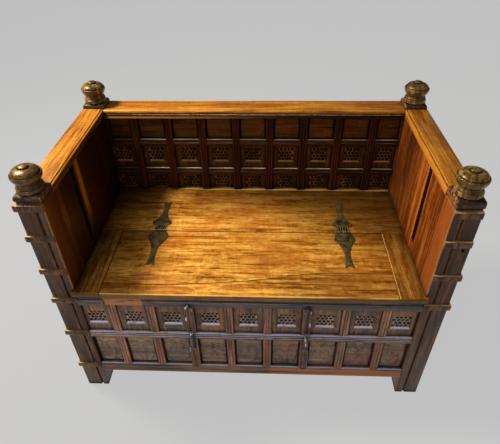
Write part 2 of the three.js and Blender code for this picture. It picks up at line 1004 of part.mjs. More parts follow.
function makeRearBoard() {
  const deep = backBoardFront - backTileRaise - gap;
  const shallow = backFace - gap;
  const half = muntinWidth / 2 + gap;
  const outline = [[-infillHalf, rearBoardFront], [infillHalf, rearBoardFront]];
  outline.push([infillHalf, deep]);
  for (let i = muntinCount - 1; i >= 0; i -= 1) {
    const x = muntinX(i);
    outline.push([x + half + notchFlare, deep]);
    outline.push([x + half, shallow]);
    outline.push([x - half, shallow]);
    outline.push([x - half - notchFlare, deep]);
  }
  outline.push([-infillHalf, deep]);
  const board = alongZ(polygon(outline), seatBottom, seatTop);
  return piece('seat_rear_board', toSolid(board), wood.gold);
}

// The section of the seat: its front edge is a lip with a rebate under it.
function seatSection(front, rear) {
  const lipBottom = seatTop - lipThickness;
  const outline = new THREE.Shape();
  outline.moveTo(front + lipDepth, seatBottom);
  outline.lineTo(rear, seatBottom);
  outline.lineTo(rear, seatTop);
  outline.lineTo(front + edgeRound, seatTop);
  outline.absarc(front + edgeRound, seatTop - edgeRound, edgeRound, Math.PI / 2, Math.PI);
  outline.lineTo(front, lipBottom);
  outline.lineTo(front + lipDepth, lipBottom);
  return outline;
}

// Each end board has a small ear that reaches across the front of its post.
function makeEndBoard(side) {
  const inner = side.sign * (insideHalf - endBoardWidth);
  const outer = side.sign * (insideHalf + earWidth);
  const section = seatSection(-seatOverhang + endBoardSetback, rearBoardFront - gap);
  const board = alongX(section, Math.min(inner, outer), Math.max(inner, outer));
  const beside = side.sign * infillHalf;
  const beyond = side.sign * benchWidth;
  const notch = block(
    Math.min(beside, beyond),
    Math.max(beside, beyond),
    -gap,
    benchDepth,
    footHeight,
    railTop,
  );
  return piece(`seat_end_board_${side.name}`, cut(toSolid(board), [notch]), wood.gold);
}

// The lid's two planks meet on a wandering line.
// Each row is a share of the lid's half width and a share of its depth.
const lidJointShares = [
  [-1.02, 0.160], [-0.73, 0.154], [-0.60, 0.144], [-0.33, 0.17], [-0.06, 0.205],
  [0.31, 0.298], [0.49, 0.343], [0.75, 0.352], [1.02, 0.346],
];

function lidJoint(offset) {
  const depth = lidRear + seatOverhang;
  const marks = lidJointShares.map(([acrossShare, depthShare]) => new THREE.Vector2(
    acrossShare * lidHalf,
    -seatOverhang + depthShare * depth + offset,
  ));
  return new THREE.SplineCurve(marks).getPoints(12);
}

function makeLidPlank(name, isFront) {
  const offset = (isFront ? -1 : 1) * plankSplit / 2;
  const edge = isFront ? -seatOverhang - overrun : lidRear + overrun;
  const joint = lidJoint(offset).map(({ x, y }) => [x, y]);
  const first = joint[0][0];
  const last = joint[joint.length - 1][0];
  const outline = polygon([...joint, [last, edge], [first, edge]]);
  const plan = toSolid(alongZ(outline, seatBottom - overrun, seatTop + overrun));
  const section = toSolid(alongX(seatSection(-seatOverhang, lidRear), -lidHalf, lidHalf));
  return piece(name, section.intersect(plan), wood.gold);
}

function makeBatten(side) {
  const x = side.sign * (lidHalf - battenInset);
  const chamfer = battenThickness / 3;
  const front = ledgeDepth + battenSetback;
  const rear = hingeLine - bearerLap - battenTailRoom;
  const low = ledgeTop - battenThickness;
  const outline = polygon([
    [front, ledgeTop],
    [front, low + chamfer],
    [front + chamfer, low],
    [rear - chamfer, low],
    [rear, low + chamfer],
    [rear, ledgeTop],
  ]);
  const strip = alongX(outline, x - battenWidth / 2, x + battenWidth / 2);
  return piece(`lid_batten_${side.name}`, toSolid(strip), wood.plain);
}

// Hinges: long strap leaves on top of the seat, on one pin

// Half outline of a leaf, as shares of its length and of its half width
const leafShares = [
  [0, 0.62], [0.06, 0.72], [0.11, 0.94], [0.18, 1], [0.25, 0.92], [0.32, 0.66],
  [0.38, 0.62], [0.46, 0.42], [0.58, 0.28], [0.78, 0.25], [0.90, 0.34], [1, 0.42],
];
const leafNotchShare = 0.955;

function leafPlate(x, direction) {
  const start = knuckleRadius + gap;
  const place = (lengthShare, widthShare) => [
    x + widthShare * leafHalfWidth,
    hingeLine + direction * (start + lengthShare * (leafLength - start)),
  ];
  const right = leafShares.map(([lengthShare, widthShare]) => place(lengthShare, widthShare));
  const left = leafShares.map(([lengthShare, widthShare]) => place(lengthShare, -widthShare));
  const outline = polygon([...right, place(leafNotchShare, 0), ...left.reverse()]);
  return alongZ(outline, seatTop + gap, seatTop + gap + leafThickness);
}

function knuckle(x, index, direction) {
  const pitch = knuckleRun / knuckleCount;
  const middle = x + (index - (knuckleCount - 1) / 2) * pitch;
  const half = (pitch - knuckleGap) / 2;
  const barrel = new THREE.CylinderGeometry(knuckleRadius, knuckleRadius, 2 * half, pinSides);
  barrel.rotateZ(Math.PI / 2);
  barrel.translate(middle, hingeLine, pinHeight);
  const reach = hingeLine + direction * (knuckleRadius + 2 * gap);
  const strap = block(
    middle - half,
    middle + half,
    Math.min(hingeLine, reach),
    Math.max(hingeLine, reach),
    seatTop + gap,
    seatTop + gap + leafThickness,
  );
  return [barrel, strap];
}

function pinBar(radius, x, length) {
  const rod = new THREE.CylinderGeometry(radius, radius, length, pinSides);
  rod.rotateZ(Math.PI / 2);
  return rod.translate(x, hingeLine, pinHeight);
}

function makeLeaf(name, x, direction, knuckles) {
  const parts = [leafPlate(x, direction)];
  for (const index of knuckles) {
    parts.push(...knuckle(x, index, direction));
  }
  const bore = pinBar(pinRadius + gap, x, knuckleRun + overrun);
  return piece(name, cut(join(parts), [bore]), metal.bronze);
}

function makePin(name, x) {
  const reach = knuckleRun / 2 + gap + pinHeadLength / 2;
  return piece(name, join([
    pinBar(pinRadius, x, knuckleRun + 2 * gap + pinHeadLength),
    pinBar(pinHeadRadius, x - reach, pinHeadLength),
    pinBar(pinHeadRadius, x + reach, pinHeadLength),
  ]), metal.bronze);
}

function hingePlaces() {
  return sides.map((side) => ({ name: side.name, x: side.sign * (lidHalf - hingeInset) }));
}

// Hasps: a staple in the ledge, a forged link that hangs in it and a long ring

const haspY = -ledgeProud - haspStandoff;
const stapleLevel = ledgeTop - stapleDrop;
const acrossNormal = new THREE.Vector3(1, 0, 0);
const facingNormal = new THREE.Vector3(0, 1, 0);

function haspPlaces() {
  return [
    { name: 'left', x: muntinX(haspMuntin) },
    { name: 'right', x: muntinX(muntinCount - 1 - haspMuntin) },
  ];
}

function stapleShape(x, clearance) {
  const reach = bowRadius + stapleRadius;
  const legEnd = haspY + haspStandoff + stapleLeg + clearance;
  const route = [new THREE.Vector3(x, legEnd, stapleLevel + reach)];
  for (let i = 0; i <= 8; i += 1) {
    const angle = (Math.PI * i) / 8;
    route.push(new THREE.Vector3(
      x,
      haspY - reach * Math.sin(angle),
      stapleLevel + reach * Math.cos(angle),
    ));
  }
  route.push(new THREE.Vector3(x, legEnd, stapleLevel - reach));
  const radius = stapleRadius + clearance;
  return bar(route, acrossNormal, radius, radius, false);
}

function upperLoop(x, top, halfWidth, height, halfIn, halfOut) {
  const route = loopRoute(halfWidth, height, (across, up) => new THREE.Vector3(
    x + across,
    haspY,
    top + up,
  ));
  return bar(route, facingNormal.clone().negate(), halfIn, halfOut, true);
}

function eyeLoop(x, top) {
  const route = loopRoute(eyeHalf, eyeHeight, (across, up) => new THREE.Vector3(
    x,
    haspY + across,
    top + up,
  ));
  return bar(route, acrossNormal, eyeBarIn, eyeBarWide, true);
}

// The neck between the loops is a square bar with half a turn of twist.
function twistedNeck(x, bottom, top) {
  const steps = 6;
  const rings = [];
  for (let i = 0; i <= steps; i += 1) {
    const z = bottom + ((top - bottom) * i) / steps;
    rings.push(Array.from({ length: 4 }, (_, j) => {
      const angle = (Math.PI * i) / steps + (Math.PI * j) / 2 + Math.PI / 4;
      const radius = neckHalf * Math.SQRT2;
      return new THREE.Vector3(
        x + radius * Math.cos(angle),
        haspY + radius * Math.sin(angle),
        z,
      );
    }));
  }
  return loft(rings);
}

const linkBottom = stapleLevel - linkLoopHeight;
const neckTop = linkBottom + neckHeight / 2;
const neckBottom = linkBottom - neckHeight / 2;
const eyeTop = linkBottom;
const ringLevel = eyeTop - eyeHeight + eyeBarIn + gap + ringBar;

function makeHasp(place) {
  const link = join([
    upperLoop(place.x, stapleLevel, linkHalfWidth, linkLoopHeight, linkBar, linkBar),
    twistedNeck(place.x, neckBottom, neckTop),
    eyeLoop(place.x, eyeTop),
  ]);
  const ring = upperLoop(place.x, ringLevel, ringHalfWidth, ringHeight, ringBar, ringBar);
  return {
    staple: piece(`hasp_staple_${place.name}`, toSolid(stapleShape(place.x, 0)), metal.iron),
    link: piece(`hasp_link_${place.name}`, link, metal.iron),
    ring: piece(`hasp_ring_${place.name}`, toSolid(ring), metal.iron),
  };
}

// Assembly

const bench = new THREE.Group();

for (const end of ends) {
  for (const side of sides) {
    const x = side.sign * (benchWidth - postSize) / 2;
    const y = end.sign < 0 ? postSize / 2 : benchDepth - postSize / 2;
    const corner = new THREE.Group();
    const finial = makeFinial(side, end);
    finial.position.z = postTop;
    corner.add(makePost(side, end), finial);
    corner.position.set(x, y, 0);
    bench.add(corner);
  }
}

bench.add(makeFront(), makeBack());
for (const side of sides) {
  bench.add(makeArmRail(side), ...makeSidePlanks(side), makeSideRail(side));
  bench.add(makeEndBoard(side));
}
bench.add(makeFloor(), makeChestWall(), makeRearBoard());
bench.add(piece('seat_bearer', toSolid(bearerBlock(0)), wood.plain));

const lid = new THREE.Group();
lid.add(makeLidPlank('lid_front_plank', true), makeLidPlank('lid_rear_plank', false));
for (const side of sides) {
  lid.add(makeBatten(side));
}
bench.add(lid);

for (const { name, x } of hingePlaces()) {
  bench.add(makeLeaf(`hinge_rear_leaf_${name}`, x, 1, [0, 2, 4]));
  lid.add(makeLeaf(`hinge_front_leaf_${name}`, x, -1, [1, 3]));
  bench.add(makePin(`hinge_pin_${name}`, x));
}

for (const place of haspPlaces()) {
  const hasp = makeHasp(place);
  const hanging = new THREE.Group();
  hanging.add(hasp.link, hasp.ring);
  bench.add(hasp.staple, hanging);
}

// The middle of the bench's outer box goes over the origin.
const bounds = new THREE.Box3().setFromObject(bench, true);
bench.position.y = -(bounds.min.y + bounds.max.y) / 2;

export default bench;
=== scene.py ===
# %% [markdown]
# A settle bench, dressed for the photograph
#
# The bench is a joiner's piece: four banded posts, grids of reeded bars over carved boards,
# a plank seat whose front part is a lid, strap hinges of bronze and two hasps of iron. The
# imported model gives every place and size. This lesson makes the surface that the eye sees:
# rounded reeds, worn edges, pierced tiles, turned finials and the finish of each wood.

# %% The frame that everything is fitted to
import math
import random

import bmesh
import bpy
import numpy as np
from mathutils import Matrix, Vector


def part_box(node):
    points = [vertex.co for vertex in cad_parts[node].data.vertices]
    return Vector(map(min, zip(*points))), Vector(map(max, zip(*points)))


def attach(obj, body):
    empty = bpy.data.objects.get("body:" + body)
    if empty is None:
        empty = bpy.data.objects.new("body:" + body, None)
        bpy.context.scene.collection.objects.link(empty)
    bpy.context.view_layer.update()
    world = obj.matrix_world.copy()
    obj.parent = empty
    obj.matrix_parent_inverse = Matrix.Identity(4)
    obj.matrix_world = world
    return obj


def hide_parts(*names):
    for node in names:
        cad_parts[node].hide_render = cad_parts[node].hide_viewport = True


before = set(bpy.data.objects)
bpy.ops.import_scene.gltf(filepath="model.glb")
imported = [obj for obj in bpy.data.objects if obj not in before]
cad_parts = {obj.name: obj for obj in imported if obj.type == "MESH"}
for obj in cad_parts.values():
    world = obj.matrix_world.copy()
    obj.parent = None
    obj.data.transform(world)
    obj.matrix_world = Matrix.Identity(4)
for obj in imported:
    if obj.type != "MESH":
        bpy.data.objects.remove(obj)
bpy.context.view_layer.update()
MM = 0.001
GAP = 0.3 * MM  # pieces that touch on the real bench keep this distance here

# %% [markdown]
# The camera stands in front of the bench, above it, and looks down at about 38 degrees. Its
# place was found from the posts, the rails and the even pitch of the columns. It could be
# aimed with a constraint, but a matrix built from yaw, pitch and roll says what was measured.

# %% Camera
EYE = Vector((0.0581, -1.1806, 1.4520))
PITCH, YAW, ROLL = 0.67181, -0.05215, -0.02063
PHOTO_WIDTH = 500
FOCAL_PIXELS = 453.8
SENSOR = 36.0

ahead = Vector((
    math.sin(YAW) * math.cos(PITCH),
    math.cos(YAW) * math.cos(PITCH),
    -math.sin(PITCH),
))
level_right = Vector((math.cos(YAW), -math.sin(YAW), 0))
level_up = level_right.cross(ahead)
right = level_right * math.cos(ROLL) + level_up * math.sin(ROLL)
up = level_up * math.cos(ROLL) - level_right * math.sin(ROLL)

camera_data = bpy.data.cameras.new("camera")
camera_data.sensor_width = SENSOR
camera_data.lens = SENSOR * FOCAL_PIXELS / PHOTO_WIDTH
camera = bpy.data.objects.new("camera", camera_data)
bpy.context.scene.collection.objects.link(camera)
turn = Matrix((right, up, -ahead)).transposed().to_4x4()
camera.matrix_world = Matrix.Translation(EYE) @ turn
bpy.context.scene.camera = camera
bpy.context.scene.view_settings.view_transform = "Standard"
print("lens:", round(camera_data.lens, 2), "mm")

# %% [markdown]
# Shader and geometry trees are built in the same way: a node is added, gets its settings, and
# its sockets get values or links. One method does this for every kind of node. A node's
# settings come first, because some sockets only appear with them.


# %% A tree to which nodes are added
class Graph:
    """A node tree to which nodes are added by name."""

    def __init__(self, tree):
        self.tree = tree

    def node(self, kind, settings=None, inputs=None, output=0):
        """Adds a node, sets its settings first and then its sockets, and returns one output."""
        made = self.tree.nodes.new(kind)
        for key, value in (settings or {}).items():
            if key == "stops":
                self.set_stops(made.color_ramp, value)
            else:
                setattr(made, key, value)
        for key, value in (inputs or {}).items():
            if isinstance(value, Wire):
                self.tree.links.new(value.socket, made.inputs[key])
            else:
                made.inputs[key].default_value = value
        return Wire(self, made.outputs[output]) if len(made.outputs) else None

    @staticmethod
    def set_stops(ramp, stops):
        """Gives a colour ramp its stops, each a position and a colour."""
        while len(ramp.elements) > 1:
            ramp.elements.remove(ramp.elements[-1])
        ramp.elements[0].position, ramp.elements[0].color = stops[0]
        for position, colour in stops[1:]:
            ramp.elements.new(position).color = colour

    def vector(self, x, y, z):
        """Three numbers or wires as one vector."""
        return self.node("ShaderNodeCombineXYZ", inputs={0: x, 1: y, 2: z})


# %% [markdown]
# Shader maths reads best as sums. A second class wraps a socket, so that a mask times a noise
# plus a number is written as it is thought, and each sign adds a Math node. Colours and vectors
# go through Mix and Vector Math, because a Math node would turn a colour grey.

# %% A socket that takes part in sums
class Wire:
    """An output socket on which sums can be written."""

    def __init__(self, graph, socket):
        self.graph = graph
        self.socket = socket

    def _math(self, operation, first, second=0.0):
        settings = {"operation": operation}
        return self.graph.node("ShaderNodeMath", settings, {0: first, 1: second})

    def __add__(self, other):
        return self._math("ADD", self, other)

    def __radd__(self, other):
        return self._math("ADD", other, self)

    def __sub__(self, other):
        return self._math("SUBTRACT", self, other)

    def __rsub__(self, other):
        return self._math("SUBTRACT", other, self)

    def __mul__(self, other):
        return self._math("MULTIPLY", self, other)

    def __rmul__(self, other):
        return self._math("MULTIPLY", other, self)

    def __mod__(self, other):
        return self._math("MODULO", self, other)

    def wave(self):
        """A sine that runs from 0 to 1."""
        return self._math("SINE", self * math.tau) * 0.5 + 0.5

    def above(self, low, high):
        """0 below low, 1 above high, and smooth between them."""
        settings = {"interpolation_type": "SMOOTHSTEP"}
        values = {"Value": self, "From Min": low, "From Max": high}
        return self.graph.node("ShaderNodeMapRange", settings, values)

    def stretched(self, x, y, z):
        """The vector with each axis multiplied."""
        settings = {"operation": "MULTIPLY"}
        return self.graph.node("ShaderNodeVectorMath", settings, {0: self, 1: (x, y, z)})

    def axis(self, index):
        """One of the vector's three numbers."""
        return self.graph.node("ShaderNodeSeparateXYZ", inputs={0: self}, output=index)

    def noise(self, scale, detail, roughness, distortion=0.0):
        """A noise from 0 to 1 at the vector's place."""
        values = {
            "Vector": self,
            "Scale": scale,
            "Detail": detail,
            "Roughness": roughness,
            "Distortion": distortion,
        }
        return self.graph.node("ShaderNodeTexNoise", inputs=values)


def blend(mask, first, second):
    """Mixes two colours by a mask."""
    settings = {"data_type": "RGBA"}
    return mask.graph.node("ShaderNodeMix", settings, {0: mask, 6: first, 7: second}, 2)


def tint(*screen):
    """A colour written as it looks on a screen, from 0 to 255, in scene units.

    A screen's curve is straight near black and a power above that.
    """
    parts = [((c / 255 + 0.055) / 1.055) ** 2.4 if c > 10 else c / 3295 for c in screen]
    return (*parts, 1.0)


print("mid grey on a screen is", round(tint(128, 128, 128)[0], 3), "in scene units")

# %% [markdown]
# The studio is a pale grey floor under soft light. The lamp that shapes the bench hangs high at
# the left, a little behind the seat's middle, so that the seat is bright while the back and
# the left arm fall into shade. A wide cool panel in front fills the chest's face. The floor
# shows the camera an even grey and still takes the bench's soft shadow.

# %% Floor, world and lamps
BACKDROP = tint(194, 194, 194)
FLOOR_SPAN = 60.0
SHADOW_SHARE = 0.2
PLAIN_STRENGTH = 1.17
WORLD_TINT, WORLD_STRENGTH = tint(154, 154, 156), 0.38


def stage_material():
    """An even grey for the camera and for gloss, and a matt floor for the shadow."""
    material = bpy.data.materials.new("pale_floor")
    material.use_nodes = True
    graph = Graph(material.node_tree)
    graph.tree.nodes.clear()
    path = graph.node("ShaderNodeLightPath")
    glossy = Wire(graph, path.socket.node.outputs["Is Glossy Ray"])
    plain = graph.node("ShaderNodeEmission", inputs={"Color": BACKDROP, "Strength": PLAIN_STRENGTH})
    matt = graph.node("ShaderNodeBsdfDiffuse", inputs={"Color": BACKDROP, "Roughness": 1.0})
    seen = (path + glossy).above(0.0, 1.0)
    factor = seen * (1 - SHADOW_SHARE)
    mixed = graph.node("ShaderNodeMixShader", inputs={0: factor, 1: matt, 2: plain})
    graph.node("ShaderNodeOutputMaterial", inputs={"Surface": mixed})
    return material


def make_floor():
    """A square floor, far wider than the view."""
    half = FLOOR_SPAN / 2
    mesh = bpy.data.meshes.new("floor")
    corners = [(-half, -half, 0), (half, -half, 0), (half, half, 0), (-half, half, 0)]
    mesh.from_pydata(corners, [], [(0, 1, 2, 3)])
    mesh.materials.append(stage_material())
    floor = bpy.data.objects.new("floor", mesh)
    bpy.context.scene.collection.objects.link(floor)


def make_world():
    """A dim world that lights the bench and shows the camera the backdrop's grey."""
    world = bpy.data.worlds.new("studio")
    bpy.context.scene.world = world
    world.use_nodes = True
    graph = Graph(world.node_tree)
    graph.tree.nodes.clear()
    path = graph.node("ShaderNodeLightPath")
    dim = graph.node("ShaderNodeBackground", inputs={0: WORLD_TINT, 1: WORLD_STRENGTH})
    plain = graph.node("ShaderNodeBackground", inputs={0: BACKDROP, 1: 1.0})
    mixed = graph.node("ShaderNodeMixShader", inputs={0: path, 1: dim, 2: plain})
    graph.node("ShaderNodeOutputWorld", inputs={"Surface": mixed})


def lamp(name, place, target, width, height, watts, colour):
    """A soft rectangular lamp that looks at its target."""
    data = bpy.data.lights.new(name, "AREA")
    data.shape = "RECTANGLE"
    data.size, data.size_y = width, height
    data.energy = watts
    data.color = colour
    light = bpy.data.objects.new(name, data)
    bpy.context.scene.collection.objects.link(light)
    aim = (Vector(target) - Vector(place)).to_track_quat("-Z", "Y")
    light.matrix_world = Matrix.Translation(place) @ aim.to_matrix().to_4x4()


make_floor()
make_world()
lamp("key", place=(-1.5, 0.16, 2.25), target=(0.0, -0.1, 0.45), width=0.42, height=0.42,
     watts=66, colour=(1.0, 0.94, 0.82))
lamp("fill", place=(-0.8, -2.5, 1.9), target=(0, -0.2, 0.4), width=2.0, height=1.4,
     watts=26, colour=(0.98, 0.97, 1.0))
print("lamps:", [light.name for light in bpy.data.lights])

# %% [markdown]
# Wood is the main finish, and it differs from place to place: the seat gets painted shade at
# its sides and rear, so that its middle is brightest, dust and painted highlights lie on the
# rails, and joints are dark. Such marks could be painted on an image, but masks that are worked
# out from each point's own place need none, and they follow the imported sizes. Two small
# masks come first, one for sharp edges and one for a line.

# %% Masks for an edge and for a line
def edge_mask(graph, reach, samples=4):
    """1 on sharp edges: how far a rounded normal turns away from the true one."""
    rounded = graph.node("ShaderNodeBevel", {"samples": samples}, {"Radius": reach})
    true = graph.node("ShaderNodeNewGeometry", output=1)
    settings = {"operation": "DOT_PRODUCT"}
    alike = graph.node("ShaderNodeVectorMath", settings, {0: rounded, 1: true}, "Value")
    return 1 - alike


def seam(value, at, half):
    """1 on the line where a value is at, and 0 beyond half from it."""
    away = value - at
    return 1 - (away * away * (1 / half ** 2)).above(0.2, 1.0)


def together(shares):
    """Several darkenings laid over each other, as washes of stain are."""
    left = 1 - shares[0]
    for share in shares[1:]:
        left = left * (1 - share)
    return 1 - left


# %% [markdown]
# The lid's two planks meet on a wandering line, which has gone dark. A straight mask can't
# follow it. Its points are read from the plank's own mesh and kept as the stops of a colour
# ramp, so that the ramp gives the joint's depth at every place along the lid.

# %% The joint between the lid's planks
LID_LOW, LID_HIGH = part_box("lid_front_plank")
LID_WIDTH = LID_HIGH.x - LID_LOW.x
JOINT_SPAN = 0.2
JOINT_HALF = 2 * MM


def joint_stops():
    """The joint as ramp stops: a share of the lid's width and the depth as a grey."""
    depths = {}
    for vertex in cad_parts["lid_front_plank"].data.vertices:
        x = round(vertex.co.x, 4)
        depths[x] = max(depths.get(x, vertex.co.y), vertex.co.y)
    stops = []
    for x, y in sorted(depths.items()):
        grey = (y - LID_LOW.y) / JOINT_SPAN
        stops.append(((x - LID_LOW.x) / LID_WIDTH, (grey, grey, grey, 1.0)))
    return stops


def lid_joint(place):
    """1 on the dark joint between the lid's two planks."""
    x, y = place.axis(0), place.axis(1)
    share = (x - LID_LOW.x) * (1 / LID_WIDTH)
    depth = place.graph.node("ShaderNodeValToRGB", {"stops": joint_stops()}, {0: share})
    inside = (x - LID_LOW.x).above(0.0, 1 * MM) * (LID_HIGH.x - x).above(0.0, 1 * MM)
    return seam(y - depth * JOINT_SPAN, LID_LOW.y, JOINT_HALF) * inside


print("stops along the lid's joint:", len(joint_stops()))

# %% [markdown]
# The seat gets painted shade beside the left arm, in the rear left corner and along the back,
# and a painted fall of light leaves it darker towards the rear right and at the front right.
# Its right end board is darker, and its joints are dark. Its rear rim, its lip and the lid's
# right end get painted highlights. Each mark is a mask of its own, from 0 to 1. On the bench a
# pocket is cut behind each hinge's pin. Here its place is painted nearly black, as the
# pocket's shade.

# %% The seat's painted shade, painted highlights and joints
SEAT_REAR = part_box("back_lattice")[0].y
HINGE_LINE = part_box("lid_rear_plank")[1].y + 1.5 * MM
HINGE_X = (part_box("hinge_pin_right")[0].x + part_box("hinge_pin_right")[1].x) / 2
POCKET_START, POCKET_END = HINGE_LINE - 4 * MM, HINGE_LINE + 30 * MM
POCKET_HALF = 20 * MM
FADE = 2 * MM


def seat_age(place):
    """How far the seat is darkened: painted shade, a painted fall of light, and dark joints."""
    x, y = place.axis(0), place.axis(1)
    uneven = place.stretched(5, 9, 5).noise(1, 3, 0.6) * 0.12 - 0.06
    before_hinges = (HINGE_LINE - y).above(0.0, 2 * FADE)
    return together([
        (x * 0.9 + y * 1.1 + uneven + 0.16).above(0.2, 0.6) * 0.72,  # to the rear right
        (uneven - x).above(0.29, 0.53) * 0.8,  # beside the left arm
        y.above(0.02, 0.24) * (0 - x).above(0.16, 0.42) * 0.6,  # in the rear left corner
        (0 - y).above(0.17, 0.23) * (x + uneven).above(0.06, 0.2) * 0.34,  # at the front right
        (y + uneven * 0.4).above(-0.03, 0.21) * (x + 0.3).above(0.0, 0.1) * 0.68,  # at the back
        x.above(0.43, 0.434) * 0.26,  # on the right end board
        seam(y, HINGE_LINE, 2.4 * MM) * 0.75,  # on the joint behind the lid
        seam(x, LID_LOW.x - 0.8 * MM, 2.6 * MM) * before_hinges * 0.7,  # at the lid's left end
        lid_joint(place) * 0.8,
    ])


def hinge_pockets(place):
    """1 where the shade of the pocket behind each hinge's pin is painted."""
    x, y = place.axis(0), place.axis(1)
    near, far = HINGE_X - POCKET_HALF, HINGE_X + POCKET_HALF
    across = (x * x).above(near ** 2, (near + FADE) ** 2)
    across = across * (1 - (x * x).above((far - FADE) ** 2, far ** 2))
    along = y.above(POCKET_START, POCKET_START + FADE) * (POCKET_END - y).above(0.0, FADE)
    return along * across


def seat_light(place, facing):
    """Painted highlights on the seat: its rear rim, the lid's right end and its lip."""
    x, y = place.axis(0), place.axis(1)
    rear = y.above(SEAT_REAR - 9 * MM, SEAT_REAR - 4 * MM) * (x + 0.3).above(0.0, 0.05)
    end = seam(x, LID_HIGH.x + 2 * MM, 3 * MM) * (HINGE_LINE - y).above(0.0, 2 * FADE)
    lip = seam(y, LID_LOW.y + 2.2 * MM, 2.8 * MM)
    lip = lip * (LID_HIGH.x - x).above(0.0, 2 * FADE) * (x - LID_LOW.x).above(0.0, 2 * FADE)
    return (rear * 0.5 + end * 0.5 + lip * 0.6) * facing.axis(2).above(0.3, 0.7)


print("the hinges' line:", round(HINGE_LINE, 4), "their place:", round(HINGE_X, 4))

# %% [markdown]
# The left arm stands in shade, and its planks get painted shade as well, apart from one golden
# strip beside its slot. The right arm is red-brown and darker to the rear. The slot's own walls
# get a painted shade that is nearly black. The same places are taken for both arms, by the
# square of the distance from the middle.

# %% The arms' painted shade and dark joints
SLOT_FACE = -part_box("side_plank_front_left")[1].x + 0.8 * MM
SLOT_BACK = -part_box("side_plank_front_left")[0].x
SLOT_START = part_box("side_plank_middle_left")[0].y - 12.4 * MM
SLOT_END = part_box("side_plank_middle_left")[0].y + 13 * MM
STRIP_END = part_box("side_plank_front_left")[0].y + 28 * MM
POST_JOINT = STRIP_END - 28 * MM


def arm_age(place):
    """How far an arm's planks are darkened: painted shade, darker to the rear, and dark joints."""
    x, y = place.axis(0), place.axis(1)
    walls = (x * x).above(SLOT_FACE ** 2, (SLOT_FACE + FADE) ** 2)
    walls = walls * (1 - (x * x).above((SLOT_BACK - FADE) ** 2, SLOT_BACK ** 2))
    return together([
        (0 - x).above(0.2, 0.3) * (0.55 + (y - STRIP_END).above(0.0, FADE) * 0.35),  # left arm
        y.above(-0.08, 0.12) * 0.5,  # to the rear
        walls * 0.95,
        seam(y, STRIP_END, 3 * MM) * 0.6,
        seam(y, POST_JOINT, 4 * MM) * 0.7,
    ])


def arm_light(place, facing):
    """The paler arrises beside the right slot and the strip beside the left one."""
    x, y = place.axis(0), place.axis(1)
    right = x.above(0.2, 0.3)
    beside = seam(y, SLOT_END + 3 * MM, 4 * MM) + seam(y, SLOT_START - 3 * MM, 4 * MM)
    strip = seam(y, SLOT_END + 17 * MM, 17 * MM) * (1 - right)
    strip = strip * place.axis(2).above(0.5, 0.66) * 0.6
    inward = (x * facing.axis(0) * -1).above(0.1, 0.3)
    return (beside * right * 0.6 + strip) * inward


print("slot from", round(SLOT_START, 4), "to", round(SLOT_END, 4))

# %% [markdown]
# The posts are dark, but knees and hands have rubbed the faces of their bands, and their feet
# are scuffed in long streaks. The inner arris and the capital's inner side get painted
# highlights. The bands' tops keep a light dust with a painted highlight, most of all at the
# outer ends.

# %% How the posts aged, and their painted highlights
POST_FACE = -294.5 * MM
POST_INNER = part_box("post_front_right")[0].x
CAPITAL = 0.8


def post_age(place):
    """The dark joint behind a front post."""
    return seam(place.axis(1), POST_JOINT, 4 * MM) * 0.8


def post_light(place, facing):
    """Rubbed bands and scuffed feet, and painted highlights on the inner arris and the capital's
    inner side.
    """
    x, y, z = place.axis(0), place.axis(1), place.axis(2)
    proud = (POST_FACE - 0.8 * MM - y).above(0.0, 1 * MM)
    rubbed = place.stretched(60, 30, 30).noise(1, 3, 0.6).above(0.35, 0.65)
    inside = (x * facing.axis(0) * -1).above(0.1, 0.3) * z.above(CAPITAL - 5 * MM, CAPITAL)
    arris = seam(x * x, POST_INNER ** 2, 4.4 * MM) * (POST_FACE + 5 * MM - y).above(0.0, 3 * MM)
    arris = arris * z.above(0.49, 0.5) * (1 - proud)
    foot = place.stretched(90, 50, 5).noise(1, 3, 0.6).above(0.48, 0.62)
    foot = foot * (0.5 - z).above(0.0, 0.1) * (x.above(0.0, 0.1) * 0.35 + 0.12)
    bands = proud * rubbed * 0.5 * (CAPITAL + 6 * MM - z).above(0.0, 2 * FADE)
    return bands + inside * 0.6 + arris * 0.9 + foot


def band_dust_and_highlight(place):
    """How much of a dusty film and painted highlight a band's top keeps."""
    x = place.axis(0)
    return (x * x).above(0.548 ** 2, 0.568 ** 2) * 0.5 + x.above(0.0, 0.1) * 0.3 + 0.08


print("the posts' inner edges:", round(POST_INNER, 4))

# %% [markdown]
# The front has three marks of its own. The ledge lost its nosing along one stretch at the
# left, where the torn wood is orange. The lower rail's right part has lost its dark wax. The
# dust on the rails' tops, which also carries a painted highlight, lies in thin lines along
# their front part.

# %% How the front aged, and its painted highlights
BREAK = (-428 * MM, -311 * MM)
RAIL_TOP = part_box("front_bottom_rail")[1].z
MIDDLE_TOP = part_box("front_mid_rail")[1].z
RAIL_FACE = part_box("front_mid_rail")[0].y


def ledge_break(place, facing):
    """The stretch of the ledge whose nosing broke off, and odd paler spots."""
    x = place.axis(0)
    inside = x.above(BREAK[0], BREAK[0] + 3 * MM) * (BREAK[1] - x).above(0.0, 3 * MM)
    spots = place.stretched(9, 20, 40).noise(1, 3, 0.6).above(0.56, 0.7)
    torn = place.stretched(40, 60, 130).noise(1, 3, 0.6).above(0.34, 0.56)
    return inside * (torn * 0.6 + 0.35) + spots * 0.4


def front_light(place, facing):
    """The lower rail's paler right part, and odd spots along all rails."""
    x, z = place.axis(0), place.axis(2)
    low = (RAIL_TOP - z).above(0.0, 2 * FADE) * x.above(0.055, 0.075) * 0.85
    spots = place.stretched(8, 20, 30).noise(1, 3, 0.6).above(0.54, 0.66) * 0.5
    return low + spots


def field_red(place, facing):
    """The fields' right half has kept more of its red."""
    clouds = place.stretched(16, 16, 16).noise(1, 3, 0.6).above(0.4, 0.62)
    return clouds * (place.axis(0).above(0.0, 0.2) * 0.5 + 0.12)


